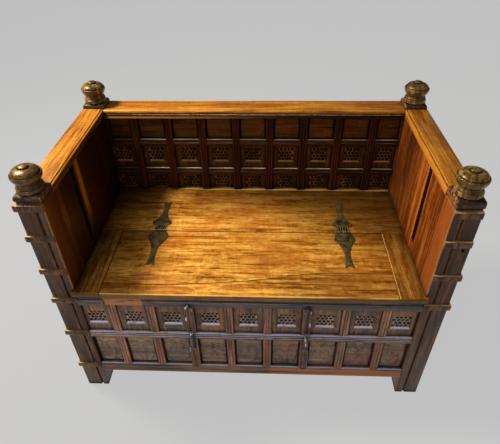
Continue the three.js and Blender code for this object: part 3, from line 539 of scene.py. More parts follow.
def front_dust_and_highlight(place):
    """A dusty film with a painted highlight on the front rails' tops keeps to their front part."""
    y, z = place.axis(1), place.axis(2)
    rail = seam(z, RAIL_TOP, 8 * MM) + seam(z, MIDDLE_TOP, 8 * MM)
    return 1 - rail * (y - RAIL_FACE).above(6.5 * MM, 9.5 * MM) * 0.9


print("the front's rails end at", round(RAIL_TOP, 4), "and", round(MIDDLE_TOP, 4))

# %% [markdown]
# The back stands in shade. What shows there are the painted highlights along its two rails,
# strongest left of the middle, and the golden lower moulding of its crown, which fades to the
# right.

# %% The back's painted highlights and its crown
CROWN_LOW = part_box("back_crown_moulding")[0].z


def crown_light(place, facing):
    """The crown's lower moulding is golden at the left."""
    x, z = place.axis(0), place.axis(2)
    low = z.above(CROWN_LOW - 1 * MM, CROWN_LOW) * (CROWN_LOW + 9 * MM - z).above(0.0, FADE)
    return low * (0.15 - x).above(0.0, 0.5) * 0.85


def back_rail_highlight(place):
    """The painted highlight on the front of the back rails' tops."""
    x, y = place.axis(0), place.axis(1)
    front = 1 - (y - SEAT_REAR).above(9 * MM, 13 * MM)
    along = (x + 0.42).above(0.0, 0.05) * (1 - x.above(-0.05, 0.4) * 0.5)
    return front * (along * 0.9 + 0.1)


print("the crown starts at", round(CROWN_LOW, 4))

# %% [markdown]
# A finish is a node tree. What all trees need, the places, the shade in corners and the last
# shader, sits in one small class. Each timber piece carries an attribute called grain: its own
# place turned so that the first axis runs along the fibres, with an offset of its own, so no
# two boards share a figure. The figure is the contour lines of a slow noise that is stretched
# along the grain, with streaks, short dashes, fibres and pores over it.

# %% The surface and the figure of the wood
class Surface:
    """A material in the making."""

    def __init__(self, name):
        self.material = bpy.data.materials.new(name)
        self.material.use_nodes = True
        self.graph = Graph(self.material.node_tree)
        self.graph.tree.nodes.clear()
        self.place = self.graph.node("ShaderNodeTexCoord", output="Object")
        self.facing = Wire(self.graph, self.place.socket.node.outputs["Normal"])

    def shade(self, reach):
        """1 in the open, and less where surfaces meet."""
        settings = {"samples": 6}
        return self.graph.node("ShaderNodeAmbientOcclusion", settings, {"Distance": reach}, "AO")

    def finish(self, values, relief, strength, depth):
        """Adds the relief and the shader, and gives the material."""
        bump = {"Height": relief, "Strength": strength, "Distance": depth}
        values["Normal"] = self.graph.node("ShaderNodeBump", inputs=bump)
        shader = self.graph.node("ShaderNodeBsdfPrincipled", inputs=values)
        self.graph.node("ShaderNodeOutputMaterial", inputs={"Surface": shader})
        return self.material


def figure_of(grain, rings, burl):
    """The figure's tone from 0 to 1, and the parts of it that later steps use."""
    slow = grain.stretched(1.1, 8, 8).noise(1, 3, 0.5, 0.4)
    parts = {
        "streaks": grain.stretched(2.6, 75, 75).noise(1, 4, 0.6),
        "fibres": grain.stretched(11, 330, 330).noise(1, 3, 0.65),
        "dashes": grain.stretched(9, 110, 110).noise(1, 3, 0.6, 0.7),
        "lines": grain.stretched(5, 150, 150).noise(1, 2, 0.5, 0.5).above(0.58, 0.66),
        "pores": grain.stretched(38, 900, 900).noise(1, 1, 0.5).above(0.62, 0.74),
    }
    ripple = grain.stretched(75, 22, 22).noise(1, 2, 0.5, 1.6)
    tone = (slow * rings).wave() * 0.12 + parts["streaks"] * 0.5 + parts["dashes"] * 0.5
    tone = tone + parts["fibres"] * 0.3 + ripple * 0.2 - 0.29
    if burl:
        knots = grain.stretched(26, 52, 52).noise(1, 4, 0.62, 1.3)
        tone = tone + (knots - 0.5) * burl
    return tone, parts


# %% [markdown]
# Over the figure come the marks of use and the painted light, in this order: painted shade and
# dark joints, worn wood and painted highlights, grime with painted shade where surfaces meet,
# worn edges that show paler wood, and last a film of dust on faces that look up, which also
# paints highlights. A finish names only what it needs, and the rest comes from a plan.

# %% The marks of use and the painted light
COOL_DUST_AND_HIGHLIGHT = tint(226, 232, 250)
SHADE_AND_JOINT_TINT, INNER_SHADE = tint(26, 12, 5), tint(26, 10, 4)
GRIME_AND_SHADE, CUT_SHADE, POCKET_SHADE = tint(16, 10, 6), tint(14, 9, 6), tint(5, 3, 2)
WOOD_PLAN = {
    "rub": None,  # the colour of worn edges, or else the light tone
    "reach": 1.4 * MM,  # how far an edge is worn
    "inner": None,  # a painted lit tone for faces that look to the middle of the bench
    "inner_left": 0.7,  # how much painted shade those get on the left
    "fronts": None,  # the colour of faces that look forward at the front
    "age": None,  # the mask of painted shade and dark joints
    "bright": None,  # the mask of paler places: worn or torn wood, and painted highlights
    "bright_tint": None,
    "film_tint": COOL_DUST_AND_HIGHLIGHT,
    "film_top": 9.0,  # the height at which the dust and its painted highlight end
    "film_part": None,  # the mask of where dust and painted highlights lie
    "hollow": None,  # the mask of pockets whose shade is painted
    "carved": False,  # cuts in the posts' capitals, with painted shade in them
    "burl": 0.0,
    "coat": 0.16,
    "sheen": (1.0, 1.0, 1.0, 1.0),  # the tint of highlights
}


def toned_by_place(surface, colour, parts, plan):
    """Inner faces get a painted lit tone and painted shade; forward, darkened and paler faces get
    tones of their own.
    """
    place, facing = surface.place, surface.facing
    # Faces that look to the middle get a painted lit tone, and on the left a painted shade.
    if plan["inner"]:
        inward = (place.axis(0) * facing.axis(0) * -1).above(0.2, 0.4)
        inward = inward * place.axis(2).above(0.47, 0.48)
        at_left = (0 - place.axis(0)).above(-0.1, 0.1) * plan["inner_left"]
        inside = blend(at_left, plan["inner"], INNER_SHADE)
        colour = blend(inward * (0.2 + parts["dashes"] * 1.2).above(0.0, 1.0), colour, inside)
    if plan["fronts"]:
        forward = (0 - facing.axis(1)).above(0.6, 0.9) * (place.axis(1) + 0.29).above(0.01, 0.0)
        colour = blend(forward * (0.4 + parts["streaks"] * 0.7), colour, plan["fronts"])
    # Painted shade and dark joints, from the piece's mask.
    if plan["age"]:
        colour = blend(plan["age"](place), colour, SHADE_AND_JOINT_TINT)
    # Paler places: worn or torn wood, and painted highlights, from the piece's mask.
    if plan["bright"]:
        shown = plan["bright"](place, facing) * (0.55 + parts["streaks"] * 0.9)
        colour = blend(shown.above(0.0, 1.0), colour, plan["bright_tint"])
    return colour


def worn_edges(surface, shade, reach):
    """1 on open edges, here and there."""
    bare = edge_mask(surface.graph, reach).above(0.02, 0.22)
    uneven = surface.place.stretched(38, 38, 38).noise(1, 3, 0.6).above(0.36, 0.6)
    return bare * uneven * shade.above(0.3, 0.8)


def dust_and_highlight_film(surface, shade, plan):
    """1 on open faces that look up: a dusty film that also paints highlights there."""
    place = surface.place
    upward = surface.facing.axis(2).above(0.55, 0.8) * shade.above(0.3, 0.65)
    upward = upward * (plan["film_top"] - place.axis(2)).above(0.0, 5 * MM)
    if plan["film_part"]:
        upward = upward * plan["film_part"](place)
    return upward * place.stretched(45, 45, 45).noise(1, 3, 0.6).above(0.15, 0.55)


def capital_cuts(place):
    """The worn scrolls that are cut into the capitals, as lines of a noise, where shade is painted.
    """
    cuts = place.stretched(34, 34, 50).noise(1, 2, 0.5, 1.0)
    return seam(cuts, 0.5, 0.06) * place.axis(2).above(CAPITAL, CAPITAL + 3 * MM)


# %% [markdown]
# One function now builds any of the bench's woods from four tones and a few strengths. The
# tones are the figure's dark, middle and light one, and that of odd patches. The gloss is the
# roughness of the bare wax, and grime with its painted shade and dust are rougher. A thin clear
# coat is the polish.

# %% Wood
def wood(name, tones, dirt_and_shade, wear, dust_and_highlight, gloss, rings, **given):
    """An old waxed timber. Its three strengths are of grimy, painted shade, of worn edges and of a
    dusty film with painted highlights, and rings is how close the rings lie.
    """
    plan = {**WOOD_PLAN, **given}
    deep, body, light, patch = (tint(*tone) for tone in tones)
    surface = Surface(name)
    graph, place = surface.graph, surface.place
    grain = graph.node("ShaderNodeAttribute", {"attribute_name": "grain"}, output="Vector")
    tone, parts = figure_of(grain, rings, plan["burl"])
    stops = [(0.3, deep), (0.5, body), (0.7, light)]
    colour = graph.node("ShaderNodeValToRGB", {"stops": stops}, {0: tone})
    blotch = place.stretched(7, 7, 7).noise(1, 3, 0.6, 0.3)
    colour = blend(blotch.above(0.42, 0.72) * 0.5, colour, patch)
    colour = toned_by_place(surface, colour, parts, plan)
    colour = blend(parts["pores"] * 0.45, colour, deep)
    colour = blend(parts["lines"] * 0.75, colour, deep)
    # Grime with painted shade: ambient occlusion darkens the colour where surfaces meet.
    shade = surface.shade(28 * MM)
    grime_and_shade = (1 - shade.above(0.25, 0.95)) * dirt_and_shade
    colour = blend(grime_and_shade, colour, GRIME_AND_SHADE)
    worn = worn_edges(surface, shade, plan["reach"]) * wear
    colour = blend(worn, colour, plan["rub"] or light)
    # Dust on faces that look up, which also paints highlights on rails and bands.
    film = dust_and_highlight_film(surface, shade, plan)
    colour = blend(film * dust_and_highlight, colour, plan["film_tint"])
    # The pockets behind the hinges are painted nearly black, as their shade.
    if plan["hollow"]:
        colour = blend(plan["hollow"](place), colour, POCKET_SHADE)
    relief = parts["fibres"] * 0.5 + parts["pores"] * -0.6 + parts["streaks"] * 0.5
    if plan["carved"]:
        # The capitals' cut lines get a painted shade.
        cuts = capital_cuts(place)
        relief = relief - cuts * 9.0
        colour = blend(cuts * 0.75, colour, CUT_SHADE)
    coat = plan["coat"]
    values = {
        "Base Color": colour,
        "Roughness": gloss + parts["streaks"] * 0.14 + grime_and_shade * 0.5 + film * (dust_and_highlight * 0.2),
        "Coat Roughness": 0.28,
        "Coat Weight": coat - grime_and_shade * (coat * 0.75),
        "Specular IOR Level": 0.35,
        "Specular Tint": plan["sheen"],
        "Coat Tint": plan["sheen"],
    }
    return surface.finish(values, relief, 0.35, 0.5 * MM)


# %% [markdown]
# The seat and the arms' rails are the golden woods, and the arms' planks are red-brown under
# the same wax. The tones were matched to the photograph, one piece after the other, and they
# are written as they look on a screen.

# %% The seat's and the arms' woods
WARM = tint(255, 206, 130)
# The seat's mask paints shade and a fall of light, and seat_light paints highlights.
GOLD = wood(
    "honey_gold_seat",
    tones=[(112, 58, 14), (208, 142, 48), (252, 200, 94), (182, 96, 28)],
    dirt_and_shade=0.75, wear=0.9, dust_and_highlight=0.0, gloss=0.36, rings=9,
    fronts=tint(92, 64, 44),
    age=seat_age,
    sheen=WARM,
    bright=seat_light,
    burl=0.6,
    bright_tint=tint(255, 214, 120),
    hollow=hinge_pockets,
)
# The rails' inner faces get a painted lit tone, with painted shade on the left.
ARM_GOLD = wood(
    "orange_gold_arms",
    tones=[(110, 58, 14), (174, 110, 28), (220, 156, 56), (150, 86, 20)],
    dirt_and_shade=0.6, wear=0.8, dust_and_highlight=0.0, gloss=0.5, rings=5,
    inner=tint(206, 136, 50),
    inner_left=0.9,
    sheen=WARM,
)
# The arms' planks get painted shade on the left arm and in the slots.
BROWN = wood(
    "reddish_brown_planks",
    tones=[(58, 24, 8), (134, 66, 20), (190, 116, 44), (104, 42, 14)],
    dirt_and_shade=0.85, wear=0.7, dust_and_highlight=0.0, gloss=0.34, rings=6,
    age=arm_age,
    bright=arm_light,
    bright_tint=tint(216, 128, 40),
    sheen=WARM,
)
print("woods of the seat and arms:", GOLD.name, ARM_GOLD.name, BROWN.name)

# %% [markdown]
# The posts and the front are the same dark hardwood, but it has worn in different ways. The
# muntins are reddish, the fields greyish, the ledge nearly black and the fretwork pale, a
# paleness that also paints the light on its bars.

# %% The posts' and the front's woods
# The posts get a painted lit tone on their inner faces, painted highlights on the inner arris and
# capitals, and a painted highlight with the dust on the bands' tops.
POST = wood(
    "dark_posts",
    tones=[(22, 13, 9), (58, 39, 29), (124, 84, 58), (88, 56, 34)],
    dirt_and_shade=0.95, wear=0.9, dust_and_highlight=0.95, gloss=0.36, rings=5,
    age=post_age,
    rub=tint(206, 156, 96),
    inner=tint(160, 82, 30),
    inner_left=0.62,
    film_tint=tint(236, 206, 150),
    film_top=CAPITAL,
    film_part=band_dust_and_highlight,
    bright=post_light,
    bright_tint=tint(156, 110, 66),
    reach=2.6 * MM,
    carved=True,
    sheen=tint(255, 222, 190),
    coat=0.08,
)
MUNTIN = wood(
    "reddish_muntins",
    tones=[(58, 36, 26), (132, 92, 72), (206, 150, 112), (172, 98, 46)],
    dirt_and_shade=0.9, wear=0.9, dust_and_highlight=0.0, gloss=0.34, rings=5,
)
FIELD = wood(
    "carved_fields",
    tones=[(56, 42, 34), (124, 98, 80), (182, 144, 112), (104, 102, 90)],
    dirt_and_shade=0.95, wear=0.9, dust_and_highlight=0.6, gloss=0.42, rings=5,
    bright=field_red,
    bright_tint=tint(146, 84, 60),
)
LEDGE = wood(
    "dark_ledge",
    tones=[(34, 30, 30), (64, 56, 54), (110, 92, 80), (84, 62, 48)],
    dirt_and_shade=0.9, wear=0.9, dust_and_highlight=0.2, gloss=0.36, rings=5,
    bright=ledge_break,
    bright_tint=tint(186, 116, 52),
)
# The fretwork's pale tones and its film also paint the light on its bars.
FRET = wood(
    "worn_fretwork",
    tones=[(86, 64, 52), (158, 130, 112), (220, 190, 160), (150, 104, 76)],
    dirt_and_shade=0.3, wear=0.9, dust_and_highlight=0.5, gloss=0.4, rings=5,
)
# The front's cool film is dust and a painted highlight on the rails' tops.
FRONT = wood(
    "dark_umber_front",
    tones=[(46, 30, 21), (102, 74, 56), (168, 118, 78), (110, 78, 58)],
    dirt_and_shade=0.9, wear=0.8, dust_and_highlight=1.7, gloss=0.4, rings=5,
    film_part=front_dust_and_highlight,
    bright=front_light,
    bright_tint=tint(178, 112, 58),
)
print("woods of the front:", MUNTIN.name, FIELD.name, LEDGE.name, FRET.name, FRONT.name)

# %% [markdown]
# The back's woods are darker and matter than the front's, or the lamp above would draw a
# sheen on them that the photograph lacks. The finials are polished and look almost like brass.
# The wood inside the chest was never waxed.

# %% The back's, the finials' and the inside's woods
DULL = tint(200, 140, 80)
# The back's very dark tones also paint part of its shade, and its cream film is a painted highlight
# on the rails' tops.
BACK = wood(
    "dark_back",
    tones=[(16, 8, 4), (40, 19, 8), (86, 42, 16), (66, 26, 10)],
    dirt_and_shade=0.92, wear=0.9, dust_and_highlight=2.4, gloss=0.4, rings=5,
    rub=tint(150, 98, 44),
    film_tint=tint(255, 236, 204),
    film_part=back_rail_highlight,
    sheen=DULL,
    coat=0.06,
    bright=crown_light,
    bright_tint=tint(170, 108, 44),
)
# The golden film on the fields' upward slopes is a painted highlight.
BACK_FIELD = wood(
    "back_boards",
    tones=[(24, 12, 5), (62, 32, 12), (104, 60, 24), (74, 52, 18)],
    dirt_and_shade=0.95, wear=0.9, dust_and_highlight=0.6, gloss=0.4, rings=5,
    rub=tint(150, 98, 44),
    film_tint=tint(240, 200, 128),
    sheen=DULL,
    coat=0.06,
)
BACK_FRET = wood(
    "dark_fretwork",
    tones=[(34, 18, 8), (84, 50, 22), (160, 108, 54), (76, 40, 16)],
    dirt_and_shade=0.3, wear=0.9, dust_and_highlight=0.0, gloss=0.8, rings=5,
    sheen=tint(120, 84, 44),
    coat=0.0,
)
FINIAL = wood(
    "brassy_turned_wood",
    tones=[(34, 24, 12), (80, 60, 30), (176, 142, 78), (104, 82, 44)],
    dirt_and_shade=0.95, wear=0.9, dust_and_highlight=0.0, gloss=0.24, rings=5,
    sheen=tint(255, 222, 140),
    coat=0.35,
)
PLAIN = wood(
    "bare_inside_wood",
    tones=[(62, 42, 26), (104, 74, 48), (146, 110, 74), (86, 60, 40)],
    dirt_and_shade=0.6, wear=0.4, dust_and_highlight=0.1, gloss=0.6, rings=7,
)
print("woods of the back:", BACK.name, BACK_FIELD.name, BACK_FRET.name)

# %% [markdown]
# Two metals show. The hinges are cast bronze, olive where it has tarnished, and their knuckles
# are pale, rubbed by the lid's turning and with painted highlights. The hasps are forged iron,
# dark with painted grey glints and a trace of rust in the hollows. Clouds of a noise choose
# between the tones, edges are rubbed, and odd spots get painted glints.

# %% Metals
def metal(name, tones, rough, scale, metallic=0.55, rim=0.8 * MM, glints=0.0):
    """An old metal with painted glints. scale is how small its clouds are, rim how far its edges
    are rubbed.
    """
    dark, body, rubbed, stain = (tint(*tone) for tone in tones)
    surface = Surface(name)
    graph, place = surface.graph, surface.place
    clouds = place.stretched(scale, scale, scale).noise(1, 4, 0.6, 0.3)
    dents = place.stretched(4 * scale, 4 * scale, 4 * scale).noise(1, 3, 0.6)
    stops = [(0.3, dark), (0.55, body), (0.8, stain)]
    colour = graph.node("ShaderNodeValToRGB", {"stops": stops}, {0: clouds})
    colour = blend((1 - surface.shade(10 * MM).above(0.2, 0.9)) * 0.8, colour, dark)
    bare = edge_mask(graph, rim).above(0.03, 0.25) * dents.above(0.3, 0.6) * 0.8
    # Odd spots get painted glints in the pale tone.
    spots = place.stretched(scale, scale, scale * 0.5).noise(1, 2, 0.5).above(0.58, 0.66)
    bare = bare + spots * glints
    values = {
        "Base Color": blend(bare.above(0.0, 1.0), colour, rubbed),
        "Metallic": metallic - clouds * (metallic * 0.5),
        "Roughness": rough + clouds * 0.25 - bare * 0.12,
    }
    return surface.finish(values, clouds * 0.6 + dents, 0.5, 0.6 * MM)


BRONZE = metal(
    "olive_bronze",
    tones=[(26, 22, 12), (96, 82, 42), (186, 166, 112), (60, 48, 24)],
    rough=0.34,
    scale=45,
    rim=1.8 * MM,
    glints=0.25,
)
# The knuckles' pale tones are rubbing and a painted highlight.
KNUCKLE = metal(
    "rubbed_bronze",
    tones=[(70, 60, 36), (128, 112, 74), (236, 222, 184), (90, 74, 42)],
    rough=0.3,
    scale=90,
    metallic=0.2,
)
# The iron's near-white tone paints glints on odd spots and marks its rubbed edges.
IRON = metal(
    "forged_iron",
    tones=[(34, 28, 25), (96, 84, 76), (250, 248, 246), (112, 82, 62)],
    rough=0.2,
    scale=60,
    metallic=0.3,
    glints=0.95,
)
print("metals:", BRONZE.name, KNUCKLE.name, IRON.name)

# %% [markdown]
# Every piece ends the same way: its mesh is made in place, gets its grain and its material,
# rides on its body and stands for the nodes that it replaces. One helper does that, so each
# later cell only has to shape something. Edges that bend more than a set angle stay sharp.

# %% Helpers that finish a piece
AXES = {"X": (0, 1, 2), "Y": (1, 0, 2), "Z": (2, 0, 1)}
GRAIN_OFFSET = 5.0  # metres
SMOOTH_ANGLE = math.radians(32)


def put_grain(mesh, axis, name):
    """Stores each point's place with the grain's axis first, and the piece's own offset."""
    count = len(mesh.vertices)
    places = np.empty(count * 3, np.float32)
    mesh.vertices.foreach_get("co", places)
    turned = places.reshape(-1, 3)[:, AXES[axis]]
    dice = random.Random(name)
    offset = [dice.uniform(0, GRAIN_OFFSET) for _ in range(3)]
    values = (turned + np.array(offset, np.float32)).astype(np.float32)
    attribute = mesh.attributes.get("grain") or mesh.attributes.new(
        "grain", "FLOAT_VECTOR", "POINT"
    )
    attribute.data.foreach_set("vector", values.ravel())


def new_object(name, mesh):
    """An object in the scene for a mesh."""
    made = bpy.data.objects.new(name, mesh)
    bpy.context.scene.collection.objects.link(made)
    return made


def plain_mesh(made, name):
    """The evaluated object as a plain mesh of its own, with the modifiers gone."""
    evaluated = made.evaluated_get(bpy.context.evaluated_depsgraph_get())
    mesh = bpy.data.meshes.new_from_object(evaluated)
    mesh.name = name
    bpy.data.objects.remove(made)
    return mesh


def finish_piece(name, mesh, body, material, nodes, axis=None):
    """Shades, finishes and hangs a mesh, and lets it stand for its nodes."""
    if axis:
        put_grain(mesh, axis, name)
    mesh.materials.clear()
    mesh.materials.append(material)
    mesh.polygons.foreach_set("use_smooth", [True] * len(mesh.polygons))
    mesh.set_sharp_from_angle(angle=SMOOTH_ANGLE)
    made = new_object(name, mesh)
    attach(made, body)
    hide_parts(*nodes)
    return made


print("edges stay sharp from", round(math.degrees(SMOOTH_ANGLE)), "degrees")

# %% [markdown]
# Most shapes here are lists of points and faces, which says plainly what is made. Blender can
# then turn the faces outwards by itself. Small helpers give the faces between two rings of
# points, make a block between two corners and join several meshes into one.

# %% Shapes from points and faces
def mesh_from(name, points, faces):
    """A mesh whose faces are made to point outwards."""
    mesh = bpy.data.meshes.new(name)
    mesh.from_pydata([tuple(p) for p in points], [], faces)
    shape = bmesh.new()
    shape.from_mesh(mesh)
    bmesh.ops.recalc_face_normals(shape, faces=shape.faces)
    shape.to_mesh(mesh)
    shape.free()
    return mesh


def band(first, second, size):
    """The faces between two rings of points, from the number of each ring's first point."""
    faces = []
    for i in range(size):
        j = (i + 1) % size
        faces.append((first + i, first + j, second + j, second + i))
    return faces


def block(name, low, high):
    """A plain block between two corners."""
    points = [(x, y, z) for x in (low[0], high[0]) for y in (low[1], high[1])
              for z in (low[2], high[2])]
    faces = [(0, 1, 3, 2), (4, 6, 7, 5), (0, 4, 5, 1), (2, 3, 7, 6), (0, 2, 6, 4), (1, 5, 7, 3)]
    return mesh_from(name, points, faces)


def joined(name, meshes):
    """Several meshes as one."""
    shape = bmesh.new()
    for mesh in meshes:
        shape.from_mesh(mesh)
    whole = bpy.data.meshes.new(name)
    shape.to_mesh(whole)
    shape.free()
    return whole


SIDES = ("left", "right")
ENDS = ("front", "rear")
print("sides and ends:", SIDES, ENDS)

# %% [markdown]
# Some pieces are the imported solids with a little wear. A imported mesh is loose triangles, so its
# doubles are merged and its flat faces made whole, and only then can a bevel round the edges.

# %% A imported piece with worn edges
def with_worn_edges(mesh, width, segments=2, angle=28):
    """The mesh with each edge rounded that bends more than the angle."""
    made = new_object("worn", mesh)
    bevel = made.modifiers.new("worn_edges", "BEVEL")
    bevel.width = width
    bevel.segments = segments
    bevel.limit_method = "ANGLE"
    bevel.angle_limit = math.radians(angle)
    return plain_mesh(made, mesh.name)


def copy_of_node(node):
    """A node's mesh with its doubles merged and its flat faces whole."""
    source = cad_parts[node].data
    shape = bmesh.new()
    shape.from_mesh(source)
    bmesh.ops.remove_doubles(shape, verts=shape.verts, dist=1e-5)
    bmesh.ops.dissolve_limit(
        shape,
        angle_limit=math.radians(0.5),
        verts=shape.verts,
        edges=shape.edges,
    )
    shape.verts.ensure_lookup_table()
    points = [vertex.co.copy() for vertex in shape.verts]
    faces = [[vertex.index for vertex in face.verts] for face in shape.faces]
    shape.free()
    mesh = bpy.data.meshes.new(node)
    mesh.from_pydata(points, [], faces)
    return mesh


def dress(node, body, material, axis, edge):
    """The node itself, with edges rounded by edge and a finish."""
    mesh = with_worn_edges(copy_of_node(node), edge)
    return finish_piece(f"{node}_worn", mesh, body, material, [node], axis)


print("loose triangles in the floor:", len(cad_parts["chest_floor"].data.polygons))

# %% [markdown]
# The posts, the arm planks, the rails inside and the seat's boards are flat-sided timbers.
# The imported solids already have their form, so each is copied, merged and given the small
# rounding that a hand plane and long use leave. That rounding is what catches the light. The
# slot in each arm is closed on the outside by a thin spline, as no light shows through it.

# %% Timbers that keep their form
SPLINE = 5 * MM
SLOT_LIFT = 35 * MM  # from the seat to the slot's lower end
PLANK_EDGE = 1.6 * MM


def plank_with_spline(side):
    """The arm's middle plank, with the spline that closes its slot on the outside."""
    node = f"side_plank_middle_{side}"
    low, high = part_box(node)
    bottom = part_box("seat_rear_board")[1].z + SLOT_LIFT
    near, far = (high.x - SPLINE, high.x) if side == "right" else (low.x, low.x + SPLINE)
    spline = block("spline", (near, SLOT_START, bottom), (far, SLOT_END, high.z))
    plank = with_worn_edges(copy_of_node(node), PLANK_EDGE)
    mesh = joined(node, [plank, spline])
    finish_piece(f"{node}_worn", mesh, "bench", BROWN, [node], "Z")


for side in SIDES:
    for end in ENDS:
        dress(f"post_{end}_{side}", "bench", POST, "Z", edge=2 * MM)
    dress(f"arm_rail_{side}", "bench", ARM_GOLD, "Y", edge=1.2 * MM)
    dress(f"side_rail_{side}", "bench", BROWN, "Y", edge=2 * MM)
    dress(f"seat_end_board_{side}", "bench", GOLD, "Y", edge=1.2 * MM)
    dress(f"lid_batten_{side}", "lid", PLAIN, "Y", edge=1.5 * MM)
    for part in ("front", "rear"):
        dress(f"side_plank_{part}_{side}", "bench", BROWN, "Z", edge=PLANK_EDGE)
    plank_with_spline(side)
for node in ("chest_floor", "chest_rear_wall", "seat_bearer", "back_rear_plank"):
    dress(node, "bench", PLAIN, "X", edge=1.2 * MM)
dress("seat_rear_board", "bench", GOLD, "X", edge=0.7 * MM)
dress("lid_front_plank", "lid", GOLD, "X", edge=0.6 * MM)
dress("lid_rear_plank", "lid", GOLD, "X", edge=0.35 * MM)
dress("back_cap_rail", "bench", ARM_GOLD, "X", edge=1.2 * MM)
dress("back_crown_moulding", "bench", BACK, "X", edge=0.7 * MM)
print("timbers dressed")

# %% [markdown]
# Rails and muntins are runs of one moulded outline: a row of round reeds with narrow grooves
# between them. An outline swept through a row of stations gives clean quads, and a small inward
# wander at each station stands for the plane's uneven work. The grid's columns come from
# the muntins' own boxes, so the later pieces fit between them.

# %% Moulded runs and the grid of columns
REED = 2.5 * MM  # how deep the grooves are
REED_FULLNESS = 0.8  # below 1, a reed is fuller than a wave
REED_STEPS = 8
STATION_STEP = 22 * MM
WANDER = 0.35 * MM
WALKS = {  # where a point of an outline lies on a run along each axis
    "X": lambda along, a, b: (along, a, b),
    "Z": lambda along, a, b: (b, a, along),
}
MUNTINS = [f"front_muntin_{i}" for i in range(1, 9)]
EDGES = [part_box("front_field_board")[0].x]
for node in MUNTINS:
    EDGES += [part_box(node)[0].x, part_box(node)[1].x]
EDGES.append(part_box("front_field_board")[1].x)
COLUMNS = list(zip(EDGES[0::2], EDGES[1::2]))


def reeded(low, high, face, back, count):
    """An outline of (out, across) points whose face is a row of round reeds."""
    points = [(back, low), (back, high)]
    for step in range(count * REED_STEPS + 1):
        share = step / (count * REED_STEPS)
        rise = abs(math.sin(math.pi * share * count))
        points.append((face + REED * (1 - rise ** REED_FULLNESS), high + (low - high) * share))
    return points


def run(name, outline, low, high, axis, wander=WANDER):
    """One outline carried along an axis. Its face wanders inwards a little at each station."""
    count = max(2, round((high - low) / STATION_STEP) + 1)
    dice = random.Random(name)
    back = max(out for out, _ in outline)
    points = []
    for index in range(count):
        along = low + (high - low) * index / (count - 1)
        for out, across in outline:
            step = dice.uniform(0, wander) if out < back - wander else 0
            points.append(WALKS[axis](along, out + step, across))
    size = len(outline)
    faces = [list(range(size)), list(range((count - 1) * size, count * size))]
    for ring in range(count - 1):
        faces += band(ring * size, (ring + 1) * size, size)
    return mesh_from(name, points, faces)


print("columns:", [round(b - a, 4) for a, b in COLUMNS])

# %% [markdown]
# Geometry Nodes are the tool for what repeats. A tree is built once with named inputs, and it
# works as a modifier on any mesh. Its inputs are set by their identifiers, and the result is
# baked to a plain mesh, because the export doesn't keep instances.


# %% A modifier tree that is baked
class NodeTool:
    """A modifier tree with named inputs that is baked to a plain mesh."""

    def __init__(self, name, inputs):
        self.tree = bpy.data.node_groups.new(name, "GeometryNodeTree")
        self.tree.is_modifier = True
        self.graph = Graph(self.tree)
        for label, kind in inputs:
            self.tree.interface.new_socket(label, in_out="INPUT", socket_type=kind)
        self.tree.interface.new_socket(
            "Result",
            in_out="OUTPUT",
            socket_type="NodeSocketGeometry",
        )
        self.source = self.tree.nodes.new("NodeGroupInput")

    def given(self, label):
        """The wire of one named input."""
        return Wire(self.graph, self.source.outputs[label])

    def result(self, geometry):
        """Ends the tree with its material."""
        real = self.graph.node("GeometryNodeSetMaterial", inputs={
            "Geometry": geometry,
            "Material": self.given("Finish"),
        })
        self.graph.node("NodeGroupOutput", inputs={0: real})

    def bake(self, name, mesh, values):
        """Applies the tree to a mesh with these input values."""
        made = new_object(name, mesh)
        modifier = made.modifiers.new(name, "NODES")
        modifier.node_group = self.tree
        for item in self.tree.interface.items_tree:
            if item.in_out == "INPUT" and item.name in values:
                modifier[item.identifier] = values[item.name]
        return plain_mesh(made, name)


# %% [markdown]
# The eight muntins are one bar set out eight times. This tree puts a piece on every point of a
# mesh, gives each copy its own grain offset, turns it or makes it a little smaller where that
# is asked for, and makes the copies real. It also sets out the pierced panels and the nails.

# %% A tree that sets a piece out on points
SET_OUT = NodeTool("set_out_on_points", [
    ("Points", "NodeSocketGeometry"),
    ("Piece", "NodeSocketObject"),
    ("Turn", "NodeSocketFloat"),
    ("Uneven", "NodeSocketFloat"),
    ("Seed", "NodeSocketInt"),
    ("Finish", "NodeSocketMaterial"),
])


def build_set_out(tool):
    """Puts the piece on each point, with a turn, a size and a grain offset of its own."""
    graph = tool.graph
    seed = tool.given("Seed")
    piece = graph.node("GeometryNodeObjectInfo", inputs={0: tool.given("Piece")}, output="Geometry")
    whole_number, least = {"data_type": "INT"}, 1 - tool.given("Uneven")
    quarter = graph.node("FunctionNodeRandomValue", whole_number, {4: 0, 5: 3, "Seed": seed}, 2)
    size = graph.node("FunctionNodeRandomValue", None, {2: least, 3: 1.0, "Seed": seed}, 1)
    spot = graph.node("GeometryNodeInstanceOnPoints", inputs={
        "Points": tool.given("Points"),
        "Instance": piece,
        "Rotation": graph.vector(0.0, quarter * tool.given("Turn"), 0.0),
        "Scale": graph.vector(size, size, size),
    })
    vector = {"data_type": "FLOAT_VECTOR"}
    bounds = {0: (0.0,) * 3, 1: (GRAIN_OFFSET,) * 3, "Seed": seed}
    own = graph.node("FunctionNodeRandomValue", vector, bounds, 0)
    marked = graph.node(
        "GeometryNodeStoreNamedAttribute",
        {**vector, "domain": "INSTANCE"},
        {"Geometry": spot, "Name": "own", "Value": own},
    )
    real = graph.node("GeometryNodeRealizeInstances", inputs={0: marked})
    base = graph.node("GeometryNodeInputNamedAttribute", vector, {"Name": "grain"})
    step = graph.node("GeometryNodeInputNamedAttribute", vector, {"Name": "own"})
    total = graph.node("ShaderNodeVectorMath", {"operation": "ADD"}, {0: base, 1: step})
    tool.result(graph.node(
        "GeometryNodeStoreNamedAttribute",
        {**vector, "domain": "POINT"},
        {"Geometry": real, "Name": "grain", "Value": total},
    ))


